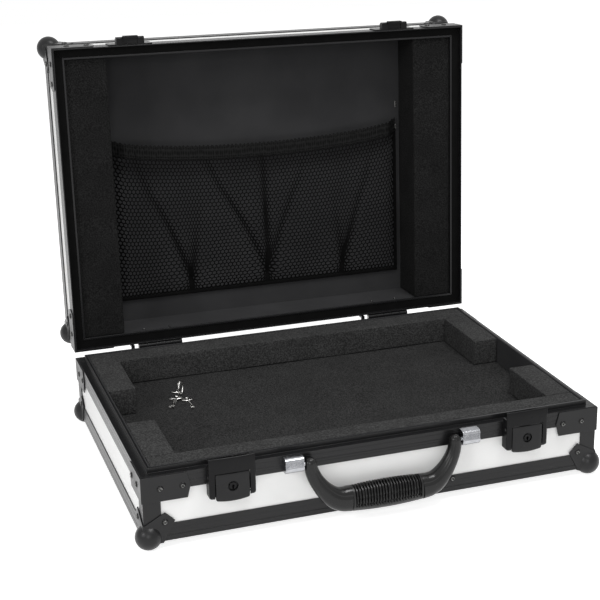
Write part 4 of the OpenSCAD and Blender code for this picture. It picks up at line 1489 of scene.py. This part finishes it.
    def lock(self) -> Shape:
        """Makes the lock's plug: a face with a keyhole, in a sunken ring.

        Each ring's radius is even but for the keyhole's, which is the greater of
        a circle's and, downwards, of a slot's.
        """
        angle = full_turn(72)
        sine, cosine = np.sin(angle), np.cos(angle)
        round_part, half, drop = self.keyhole
        slot = np.minimum(half / np.maximum(np.abs(cosine), 1e-6), drop / np.maximum(-sine, 1e-6))
        hole = np.maximum(round_part, np.where(sine < 0, slot, 0.0))
        face = self.lever_out + 0.35
        rings = [(0.02 * hole, face - 3), (hole, face - 3), (hole, face - 0.2), (3.3, face - 0.2)]
        rings += [(3.55, face - 0.45), (3.6, face - 1.7), (4.55, face - 1.7), (4.6, face - 0.1)]
        rim, back = self.lock_radius, self.lock_reach
        rings += [(4.75, face), (rim, face - 0.2), (rim, back), (0.1, back)]
        points = np.empty((len(rings), len(angle), 3))
        for row, (radius, out) in enumerate(rings):
            points[row, :, 0] = radius * cosine
            points[row, :, 1] = -out
            points[row, :, 2] = radius * sine + self.lock_z
        cam = softened_box((-2, -6.7, self.lock_z - 2), (9, -5.5, self.lock_z + 2), 0.2, 4.0)
        return joined([grid_shape(points, wrap_columns=True, capped=True), cam])

    def shade_plate(self) -> Shape:
        """Makes the dull black sheet that paints the shade in the gaps round the flap.

        It has a tail behind the flap's lower end and a flange along each side of
        the window.
        """
        (half, top), (tail_half, tail_low) = self.plate, self.tail
        near, far, deep, flange_top = self.flange
        boxes = [
            ((-half, -0.3, self.low + 0.8), (half, -0.02, top)),
            ((-tail_half, -0.3, tail_low), (tail_half, -0.02, self.low + 1.2)),
        ]
        for x0, x1 in ((near, far), (-far, -near)):
            boxes.append(((x0, -deep, self.low + 0.1), (x1, -0.2, flange_top)))
        return joined([softened_box(low, high, 0.1, 12.0) for low, high in boxes])

    def build(self) -> None:
        """Builds the latches and dresses their catches, pins and springs."""
        housing, plate, lever, lock = self.housing(), self.shade_plate(), self.lever(), self.lock()
        cast, coat = (Surface.BLACK_CAST, "hardware"), (Surface.BLACK_ENAMEL, "hardware")
        for sign, side in ((-1, "left"), (1, "right")):
            x = sign * self.place
            node = f"latch_housing_{side}"
            put(housing.moved(x=x), f"latch_body_{side}", Seat.BASE, *cast, [node], 0.25)
            # The dull black plate stands in for the shade in the gaps round the flap.
            put(plate.moved(x=x), f"latch_shade_plate_{side}", Seat.BASE, Surface.SEAL, "hardware")
            for shape, name, finish, node in (
                (lever, "latch_flap", coat, f"latch_lever_{side}"),
                (lock, "lock_plug", cast, f"lock_cylinder_{side}"),
            ):
                body = FRAME["nodes"][node]["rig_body"]
                put(shape.moved(x=x), f"{name}_{side}", Seat.BASE, *finish, [node], body=body)
            dressed_copy(f"latch_catch_{side}", f"latch_hook_{side}", *cast, 0.35)
        dress_node("latch_pins", Surface.NICKEL)
        dress_node("latch_springs", Surface.NICKEL)


@dataclass
class Handle:
    """The swing handle: two moulded arms, a ribbed grip, pins and chrome brackets.

    Attributes:
        arm_stations: Stations of the right arm, as (across, down, half width, half depth).
        grip_end: Half length of the grip.
        grip_drop: Distance of its middle below the pivots.
        grip_half_height: Half height in its middle.
        grip_taper: How much lower it is at the ends.
        grip_half_depth: Half depth, which is its edges' radius too.
        collar: Length of the smooth collar at each end.
        bracket_x: Distance of a bracket's middle from the case's.
        bracket_out: How far a bracket stands out.
        bracket_height: Its height, up to the parting plane.
        wall: Thickness of its sheet.
    """

    arm_stations: tuple = (
        (73.2, 0.0, 5.8, 5.7), (72.6, 5.0, 6.2, 5.8), (71.2, 10.5, 6.7, 6.0),
        (67.6, 18.5, 7.3, 6.6), (60.8, 28.4, 8.5, 8.0), (52.4, 36.4, 10.2, 9.3),
        (44.4, 39.8, 11.5, 10.0), (36.0, 40.5, 12.25, 10.1),
    )
    grip_end: float = 36.0
    grip_drop: float = 40.5
    grip_half_height: float = 13.9
    grip_taper: float = 1.7
    grip_half_depth: float = 10.0
    rib_count: int = 23
    rib_depth: float = 2.6
    collar: float = 2.6
    bracket_x: float = 89.0
    bracket_width: float = 18.0
    bracket_out: float = 11.5
    bracket_height: float = 15.0
    wall: float = 1.5

    def arm(self) -> Shape:
        """Makes the right arm: an oval section swept along the arm's curve.

        The section at each station is a superellipse with the exponent 2.3:
        across the curve by its half width, along Y by its half depth. A shallow
        parting groove runs along its front.
        """
        path = spline(self.arm_stations, 72)
        centre = np.stack((path[:, 0], np.zeros(len(path)), -path[:, 1]), axis=-1)
        along = np.gradient(centre, axis=0)
        along /= np.linalg.norm(along, axis=1, keepdims=True)
        across = np.stack((-along[:, 2], np.zeros(len(path)), along[:, 0]), axis=-1)
        angle = full_turn(96)
        trough = 1 - 0.075 * bell(angle - 4.35, 0.09)
        c, s = (trough * reach for reach in oval(angle, 2 / 2.3))
        rings = (
            centre[:, None]
            + path[:, 2, None, None] * c[None, :, None] * across[:, None]
            + path[:, 3, None, None] * s[None, :, None] * np.array((0, 1.0, 0))
        )
        turn = np.linspace(0.06, math.pi / 2, 9)[:-1]
        cap = (
            centre[0]
            - along[0] * path[0, 3] * np.cos(turn)[:, None, None]
            + (rings[0] - centre[0]) * np.sin(turn)[:, None, None]
        )
        return grid_shape(np.concatenate((cap, rings)), wrap_columns=True, capped=True)

    def grip(self) -> Shape:
        """Makes the grip: a stadium section whose upper part is cut by grooves.

        The radius drops by the rib depth between the ribs, by the cosine of the
        place along the grip, above the smooth band. In the lower rows of that
        zone the ribs are cut again across, into short beads. The height falls
        towards both ends with the square of x.
        """
        ribbed = self.grip_end - self.collar
        pitch = 2 * ribbed / self.rib_count
        x = np.linspace(-self.grip_end, self.grip_end, 24 * 14 + 1)
        x, angle = np.meshgrid(x, full_turn(144), indexing="ij")
        taper = self.grip_taper * (x / self.grip_end) ** 2
        straight = self.grip_half_height - self.grip_half_depth - taper
        rise = np.cos(angle)
        wave = np.cos(2 * math.pi * (x + ribbed) / pitch)
        groove = smooth_step(-0.85, -0.3, wave)
        beads = smooth_step(0.1, 0.7, np.cos(17 * angle)) * smooth_step(0.12, 0.05, rise)
        groove = np.maximum(groove, 0.75 * beads)
        groove *= smooth_step(-0.5, -0.42, rise) * (np.abs(x) < ribbed - 0.05)
        ends = 0.9 * smooth_step(self.grip_end - 0.9, self.grip_end, np.abs(x))
        radius = self.grip_half_depth - self.rib_depth * groove - ends
        y = radius * np.sin(angle)
        z = radius * rise + straight * np.tanh(4 * rise) - self.grip_drop
        return grid_shape(np.stack((x, y, z), axis=-1), wrap_columns=True, capped=True)

    def bracket(self) -> Shape:
        """Makes a bracket: a shell with a rolled top, a ribbed band and a lower step.

        Its outlines are in (out from the wall, up); the cheeks close its two ends.
        """
        low, top, out = CASE.base_height - self.bracket_height, CASE.base_height, self.bracket_out
        ribs = np.linspace(low + 6.4, top - 3.4, 11)
        band = [(out - 0.75 - 0.5 * (i % 2), z) for i, z in enumerate(ribs)]
        outer = [(0, low), (out - 3.6, low), (out - 1.6, low + 1.2), (out - 0.5, low + 3)]
        outer += [(out - 0.1, low + 5.2), (out - 0.35, low + 6)] + band
        outer += [(out - 0.6, top - 3.0), (out - 1.3, top - 1.7), (out - 2.7, top - 0.6)]
        outer += [(out - 4.6, top - 0.05), (0, top - 0.05)]
        inner = [(0, top - 1.2), (out - 4.4, top - 1.3), (out - 2.8, top - 3.4), (out - 2.5, low + 6)]
        inner += [(out - 2.8, low + 3.5), (out - 4.6, low + self.wall), (0, low + self.wall)]
        half = self.bracket_width / 2
        shell = extruded(outer + inner, self.wall - half, half - self.wall)
        cheeks = [extruded(outer, -half, self.wall - half), extruded(outer, half - self.wall, half)]
        return joined([shell, *cheeks])

    def build(self) -> None:
        """Builds the handle and its brackets."""
        arm = self.arm()
        put(
            joined([arm, arm.mirrored(0)]), "handle_arm_mouldings", Seat.HANDLE,
            Surface.MOULDED_BLACK, "handle_plastic", ["handle_arms"], smooth_angle=60.0,
        )
        put(
            self.grip(), "handle_ribbed_grip", Seat.HANDLE, Surface.SOFT_GRIP, "grip_rubber",
            ["handle_grip"], smooth_angle=50.0,
        )
        for sign, name in ((-1, "left"), (1, "right")):
            put(
                self.bracket().moved(x=sign * self.bracket_x), f"handle_bracket_shell_{name}",
                Seat.BASE, Surface.CHROME, "bright", [f"handle_bracket_{name}"], 0.12,
            )
        dress_node("handle_pins", Surface.CHROME)


@dataclass
class Keys:
    """Four small keys and the ring that holds them, loose in the pocket.

    Attributes:
        middle: Where the bunch lies.
        bow: Half width of a key's bow, across the key.
        bow_half_length: Half length of the bow, along the key.
        bow_back: How far the bow's middle lies behind the key's own.
        hole: Place along the key and radius of the bow's hole.
        rod: Radius of the key's shank.
        layout: Place and turn of each key, as (x, y, z, degrees).
        ring_place: Where the ring stands, from the bunch's middle.
        ring_turn: The way in which the ring stands, in degrees from X.
        wire: Radius of the ring's wire.
    """

    middle: tuple = (-141.0, 226.0, 42.5)
    bow: float = 6.2
    bow_half_length: float = 3.9
    bow_back: float = 0.8
    hole: tuple = (-2.6, 0.9)
    rod: float = 0.6
    length: float = 30.0
    thickness: float = 1.6
    layout: tuple = (
        (-4.4, 1.2, 0.0, 248.0), (-3.2, -1.4, 1.65, 250.0),
        (7.4, -5.8, 0.0, 274.0), (2.5, 20.5, 0.0, 75.0),
    )
    ring_place: tuple = (4.2, 9.8)
    ring_turn: float = 61.0
    ring_radius: float = 8.0
    wire: float = 0.8

    def key(self) -> Shape:
        """Makes a key that points along X from its bow's middle.

        The bow is a crowned ring: its thickness follows a half sine between its
        hole and its rim. The shank is a rod with two bits near its tip.
        """
        angle, turn = full_turn(40), full_turn(12)
        c, s, (hole_x, hole) = np.cos(angle), np.sin(angle), self.hole
        share = (1 - np.cos(turn)) / 2
        inner = np.stack((hole_x + hole * c, hole * s), axis=-1)
        outer = np.stack((self.bow_half_length * c - self.bow_back, self.bow * s), axis=-1)
        flat = inner[None] + (outer - inner)[None] * share[:, None, None]
        height = self.thickness / 2 * (1 + np.sin(turn))
        bow = np.concatenate((flat, np.broadcast_to(height[:, None, None], (12, 40, 1))), axis=-1)
        tip, rod = self.length - 5.5, self.rod
        shank = [(0, 2.0), (rod * 1.5, 2.4), (rod * 1.5, 5.8), (rod, 6.2), (rod, tip - 1)]
        shank += [(rod * 0.8, tip), (0, tip)]
        bar = revolved(shank, 14).turned(aimed((0, 0, rod), (1, 0, 0)))
        bits = [
            softened_box((x, -3.2, 0.1), (x + w, 0.2, 1.3), 0.2, 2.0)
            for x, w in ((tip - 4.2, 1.3), (tip - 2.2, 1.6))
        ]
        return joined([grid_shape(bow, wrap_rows=True, wrap_columns=True), bar, *bits])

    def ring(self) -> Shape:
        """Makes the ring: a torus of wire that stands on the pocket's floor."""
        a, b = np.meshgrid(full_turn(64), full_turn(12), indexing="ij")
        reach = self.ring_radius + self.wire * np.cos(b)
        up = reach * np.sin(a) + self.ring_radius + self.wire
        points = np.stack((reach * np.cos(a), self.wire * np.sin(b), up), axis=-1)
        return grid_shape(points, wrap_rows=True, wrap_columns=True).turned(spun(self.ring_turn))

    def build(self) -> None:
        """Builds the keys and their ring."""
        key = self.key()
        keys = [
            key.turned(shifted(x, y, z) @ spun(turn)).moved(*self.middle)
            for x, y, z, turn in self.layout
        ]
        bright = (Surface.NICKEL, "bright")
        put(joined(keys), "small_keys", Seat.BASE, *bright, ["keys"], smooth_angle=50.0)
        x, y, z = self.middle
        ring = self.ring().moved(x + self.ring_place[0], y + self.ring_place[1], z)
        put(ring, "key_ring_wire", Seat.BASE, *bright, ["key_rings"], smooth_angle=60.0)


# -------------------------------------------------------------- net pocket


@dataclass
class PocketNet:
    """The knitted net on the lid: gathered below, bulging between, held by elastic.

    Attributes:
        half: Half width of the net.
        bottom: Where its lower edge is sewn down, behind the front face.
        hem_low: Place from which its mouth's line is counted.
        hem: Width of the hem.
        sag: How far the mouth sags in its middle.
        gathers: Places across of the gathers in the sewn edge.
        creases: Each crease's gather, lean in radians and length.
        step: Distance of the knots across and up.
        rise: How far the knots' rows zigzag.
        thread: Width of a strand.
        edge_band: How far from a sewn edge the net reads as double.
        mouth: How far the net stands off the sheet at its mouth.
        belly: How far it bellies out below.
        rim: How far its sewn edges stand off the sheet.
        swell: Height, place beside the crease and width of a crease's swell.
        hollow: Depth and width of a crease's hollow.
        crowd: How strongly the strands crowd towards a crease.
    """

    half: float = 168.0
    bottom: float = 291.0
    hem_low: float = 124.8
    hem: float = 16.0
    sag: float = 14.6
    gathers: tuple = (-84.0, 6.0, 98.0)
    creases: tuple = (
        (-84.0, -0.36, 130.0), (-84.0, 0.1, 60.0), (6.0, -0.42, 150.0), (6.0, -0.02, 190.0),
        (6.0, 0.3, 110.0), (98.0, -0.14, 60.0), (98.0, 0.24, 110.0),
    )
    step: tuple = (2.07, 4.2)
    rise: float = 0.7
    thread: float = 1.05
    thread_depth: float = 0.4
    edge_band: float = 10.0
    mouth: float = 9.0
    belly: float = 3.5
    rim: float = 2.0
    swell: tuple = (2.6, 9.0, 6.0)
    hollow: tuple = (3.2, 4.5)
    crowd: float = 0.6

    def top_line(self, x: np.ndarray) -> np.ndarray:
        """Returns y of the hem's lower edge, which sags between its corners."""
        share = np.clip(1 - (x / self.half) ** 2, 0, 1)
        return self.hem_low - 5.0 + self.sag * share**0.7

    def near_creases(self, x: np.ndarray, y: np.ndarray) -> Iterator:
        """Yields how far places lie beside each crease, and how deep it is there.

        A crease starts upright at its gather and leans over as it climbs.

        Args:
            x: Place across the lid.
            y: Place in the lid, growing towards the hinge.
        """
        far = self.bottom - y
        for low_x, lean, reach in self.creases:
            line = low_x + far * math.tan(lean) * (0.45 + 0.55 * np.clip(far / 120, 0, 1))
            yield x - line, smooth_step(2, 20, far) * bell(far, reach)

    def stand(self, x: np.ndarray, y: np.ndarray) -> np.ndarray:
        """Returns how far the net stands off the sheet.

        It rises from its sewn edges to the mouth and bellies out between the
        gathers. Each crease is a narrow hollow with a swell on its right side.

        Args:
            x: Place across the lid.
            y: Place in the lid, growing towards the hinge.
        """
        up = (self.bottom - y) / (self.bottom - self.top_line(x))
        side = smooth_step(0.0, 14.0, self.half - np.abs(x))
        rise = smooth_step(0.0, 0.13, up)
        lift = self.mouth * (0.35 + 0.65 * np.clip(up, 0, 1))
        belly = self.belly * np.sin(math.pi * np.clip(up, 0, 1) ** 0.8)
        folds = np.zeros_like(x)
        (high, beside, width), (deep, narrow) = self.swell, self.hollow
        for away, fade in self.near_creases(x, y):
            folds += high * bell(away - beside, width) * fade
            folds -= deep * bell(away, narrow) * fade
        waves = 0.5 * np.sin(x / 4.1 + 0.5 * np.sin(y / 17)) * smooth_step(0.75, 1.0, up)
        waves += 0.8 * np.sin((x + 0.35 * y) / 9.5) * np.sin(math.pi * np.clip(up, 0, 1))
        height = self.rim + side * rise * (lift + belly + folds + waves)
        return np.maximum(height, self.rim * 0.8)

    def surface(self, u: np.ndarray, v: np.ndarray) -> np.ndarray:
        """Returns points of the net in the lid's coordinates.

        Towards the sewn edge the net crowds in at the gathers, and beside each
        crease it is drawn towards the hollow.

        Args:
            u: Place across, from -1 to 1.
            v: Share of the height, 0 at the sewn edge and 1 at the hem.
        """
        x = u * self.half
        pull = np.zeros_like(x)
        for low_x in self.gathers:
            away = x - low_x
            pull -= away * 0.62 * bell(away, 22)
        x = x + pull * (1 - v) ** 1.5
        y = self.bottom + (self.top_line(x) - self.bottom) * v
        shift = np.zeros_like(x)
        for away, fade in self.near_creases(x, y):
            shift -= self.crowd * away * bell(away, 11) * fade
        x = x + shift * smooth_step(0.0, 12.0, self.half - np.abs(x))
        return np.stack((x, y, CASE.lid_sheet_z - self.stand(x, y)), axis=-1)

    def doubled(self, points: np.ndarray) -> np.ndarray:
        """Returns how much wider the strands read where the net lies double.

        It does so near the sewn edges and where a fold's hollow tucks it under.

        Args:
            points: Strand ends in the lid's coordinates, one per row.
        """
        x, y = points[:, 0], points[:, 1]
        inward = np.minimum(self.half - np.abs(x), self.bottom - y)
        wider = 1 + 0.6 * smooth_step(self.edge_band, self.edge_band * 0.4, inward)
        for away, fade in self.near_creases(x, y):
            wider += 1.1 * bell(away, 3.2) * fade
        return wider

    def threads(self) -> Shape:
        """Makes the strands of a honeycomb net, a closed bar for each of its sides.

        Knots stand in rows that zigzag by the rise; slanted strands run along each
        row, and upright ones join every other knot to the next row's.
        """
        columns = int(2 * self.half / self.step[0] / 2) * 2
        rows = int((self.bottom - self.hem_low) / self.step[1])
        i, j = np.meshgrid(np.arange(columns + 1), np.arange(rows + 1), indexing="ij")
        sign = np.where((i + j) % 2 == 0, 1, -1)
        share = (j + sign * self.rise / self.step[1]) / rows
        knots = self.surface(2 * i / columns - 1, np.clip(share, 0, 1))
        across, up = np.gradient(knots, axis=0), np.gradient(knots, axis=1)
        normal = np.cross(across, up)
        normal /= np.linalg.norm(normal, axis=-1, keepdims=True)
        uprights = sign[:, :-1] > 0
        first = np.concatenate((knots[:-1].reshape(-1, 3), knots[:, :-1][uprights]))
        last = np.concatenate((knots[1:].reshape(-1, 3), knots[:, 1:][uprights]))
        out = np.concatenate((normal[:-1].reshape(-1, 3), normal[:, :-1][uprights]))
        along = last - first
        along /= np.linalg.norm(along, axis=1, keepdims=True)
        wide = np.cross(out, along)
        reach = self.thread / 2 * self.doubled(first) / np.linalg.norm(wide, axis=1)
        wide *= reach[:, None]
        deep = out * self.thread_depth / 2
        first, last = first - along * self.thread * 0.25, last + along * self.thread * 0.25
        square = ((-1, -1), (1, -1), (1, 1), (-1, 1))
        corners = [end + a * wide + b * deep for end in (first, last) for a, b in square]
        points = np.stack(corners, axis=1).reshape(-1, 3)
        box = np.array(
            [(0, 1, 2, 3), (7, 6, 5, 4), (0, 4, 5, 1), (1, 5, 6, 2), (2, 6, 7, 3), (3, 7, 4, 0)]
        )
        faces = (np.arange(len(first))[:, None, None] * 8 + box).reshape(-1, 4)
        return Shape(points, [tuple(face) for face in faces.tolist()])

    def hem_band(self) -> Shape:
        """Makes the elastic hem: a flat band along the top, ruffled by its pull.

        Its section is a flattened oval, pushed in and out by two sines along it,
        and its upper edge is scalloped by a third.
        """
        u = np.linspace(-1, 1, 420)
        t, half = full_turn(24), self.hem / 2
        out, up = oval(t, 0.6)
        out, up = 0.85 * out, half * up
        base = self.surface(u, np.ones_like(u))
        x = base[:, 0]
        ruffle = 0.45 * np.sin(x * 1.35) + 0.35 * np.sin(x * 0.43 + 1)
        scallop = 0.9 * np.sin(x * 1.35 + 0.8) * np.clip(up / half, 0, 1)[None].T
        points = np.empty((len(u), len(t), 3))
        points[..., 0] = x[:, None]
        points[..., 1] = base[:, 1, None] - half + 3.5 - up[None] - scallop.T
        points[..., 2] = base[:, 2, None] + out[None] + ruffle[:, None] * np.abs(up / half)[None]
        uv = np.stack(np.broadcast_arrays(x[:, None], (t * self.hem / math.pi)[None]), axis=-1)
        return grid_shape(points, wrap_columns=True, capped=True, uv=uv)

    def tapes(self) -> Shape:
        """Makes the tapes that sew the net to the sheet on its sides and below."""
        top, low, outside = self.hem_low - 6, self.bottom, self.half + 1.2
        under, over = CASE.lid_sheet_z - self.rim - 0.6, CASE.lid_sheet_z
        left = softened_box((-outside, top, under), (2.2 - self.half, low - 3.1, over), 0.8, 12)
        below = softened_box((-outside, low - 3, under), (outside, low + 0.8, over), 0.8, 12)
        return joined([left, left.mirrored(0), below])

    def build(self) -> None:
        """Builds the net, its hem and tapes, and dresses the staples."""
        hem = put(
            self.hem_band(), "net_elastic_hem", Seat.LID, Surface.ELASTIC, "net", ["net_hem"],
            smooth_angle=70.0,
        )
        tapes = put(
            self.tapes(), "net_sewn_tapes", Seat.LID, Surface.NET_YARN, "net", ["net_tapes"],
            smooth_angle=60.0,
        )
        net = put(
            self.threads(), "knitted_net", Seat.LID, Surface.NET_YARN, "net", ["net_pocket"],
            smooth_angle=20.0,
        )
        # The real yarn is finer and hardly shades the felt, so this one casts no shadow.
        net.visible_shadow = False
        dressed_copy("net_staples", "net_wire_staples", Surface.NICKEL, "bright", 0.12)


# ------------------------------------------------------------------ studio


@dataclass
class Studio:
    """The pale floor, the soft lamps, the white surroundings and the camera.

    Attributes:
        camera_place: Where the camera stands, in metres.
        yaw: How far it looks to the right, in degrees.
        pitch: How far it looks down, in degrees.
        roll: How far it is turned about its own line of sight, in degrees.
        focal_px: Focal length in pixels of the photograph.
        offset_px: How far right of and below the picture's middle the camera's axis lies.
        picture_px: Width of the photograph.
        sensor_mm: Width of the sensor.
        floor_size: Side of the floor, in metres.
        floor_glow: How bright the floor shines where it is seen or mirrored.
        ambient: How bright the surroundings are as a light.
    """

    camera_place: tuple = (-0.45154, -1.35598, 0.62713)
    yaw: float = 20.51
    pitch: float = 18.66
    roll: float = -0.31
    focal_px: float = 1439.33
    offset_px: tuple = (64.157, 7.595)
    picture_px: float = 600.0
    sensor_mm: float = 36.0
    floor_size: float = 7.0
    floor_glow: float = 0.76
    ambient: float = 0.4

    def camera(self) -> None:
        """Places the camera at the photograph's angle, with its shift."""
        lens = bpy.data.cameras.new("photo_camera")
        lens.sensor_width = self.sensor_mm
        lens.lens = self.sensor_mm * self.focal_px / self.picture_px
        lens.shift_x = -self.offset_px[0] / self.picture_px
        lens.shift_y = self.offset_px[1] / self.picture_px
        thing = linked("photo_camera", lens)
        turn = (
            Matrix.Rotation(math.radians(-self.yaw), 4, "Z")
            @ Matrix.Rotation(math.radians(90 - self.pitch), 4, "X")
            @ Matrix.Rotation(math.radians(self.roll), 4, "Z")
        )
        thing.matrix_world = Matrix.Translation(self.camera_place) @ turn
        bpy.context.scene.camera = thing

    def lamp(self, name: str, place: Sequence, aim: Sequence, size: float, power: float) -> None:
        """Adds a square soft lamp.

        Args:
            name: The lamp's name.
            place: Where it hangs, in metres.
            aim: What it points at.
            size: Side of the square.
            power: Watts.
        """
        light = bpy.data.lights.new(name, "AREA")
        light.size = size
        light.energy = power
        thing = linked(name, light)
        way = Vector(aim) - Vector(place)
        thing.rotation_euler = way.to_track_quat("-Z", "Y").to_euler()
        thing.location = place

    def surroundings(self) -> None:
        """Makes the world: white where it is seen or mirrored, softer as a light."""
        world = bpy.data.worlds.new("white_studio")
        bpy.context.scene.world = world
        tree = emptied_tree(world)
        seen = add_ray_test(tree, "Is Camera Ray", "Is Glossy Ray", "Is Transmission Ray")
        strength = add_range(tree, seen, target=(self.ambient, 1.0))
        background = add_node(tree, "ShaderNodeBackground", {"Color": WHITE, "Strength": strength})
        add_node(tree, "ShaderNodeOutputWorld", {"Surface": background.outputs[0]})

    def floor(self) -> None:
        """Lays the floor: a matt white sheet that reads as white but keeps shadows."""
        half = self.floor_size / 2
        corners = [(-half, -half, 0), (half, -half, 0), (half, half, 0), (-half, half, 0)]
        mesh = bpy.data.meshes.new("studio_floor")
        mesh.from_pydata(corners, [], [(0, 1, 2, 3)])
        thing = linked("studio_floor", mesh)
        material = bpy.data.materials.new("white_paper_sweep")
        tree = emptied_tree(material)
        seen = add_ray_test(tree, "Is Camera Ray", "Is Glossy Ray")
        glow = add_range(tree, seen, target=(0.0, self.floor_glow))
        paper = add_node(tree, "ShaderNodeBsdfDiffuse", {"Color": linear("#F2F2F2")})
        lit = add_node(tree, "ShaderNodeEmission", {"Color": WHITE, "Strength": glow})
        both = add_node(tree, "ShaderNodeAddShader", {0: paper.outputs[0], 1: lit.outputs[0]})
        add_node(tree, "ShaderNodeOutputMaterial", {"Surface": both.outputs[0]})
        mesh.materials.append(material)

    def build(self) -> None:
        """Builds the studio and sets the plain view transform."""
        self.camera()
        self.floor()
        self.surroundings()
        self.lamp("top_softbox", (0.25, -0.45, 1.6), (0, -0.05, 0.1), 0.6, 14)
        self.lamp("left_softbox", (-1.5, -0.8, 1.0), (0, -0.1, 0.05), 0.45, 8)
        self.lamp("front_softbox", (-0.6, -1.9, 0.9), (-0.1, 0, 0.1), 0.5, 7.5)
        bpy.context.scene.view_settings.view_transform = "Standard"


# -------------------------------------------------------------------- main


def main() -> None:
    """Builds the case in order."""
    logging.basicConfig(level=logging.INFO, format="%(name)s: %(message)s")
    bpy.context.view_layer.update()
    builders = [
        Studio(), Profiles(), Linings(), FoamInsert(), Pressings(), Rivets(),
        Latches(), Handle(), Keys(), PocketNet(),
    ]
    for builder in builders:
        builder.build()
        LOG.info("built %s", type(builder).__name__)


if __name__ == "__main__":
    main()
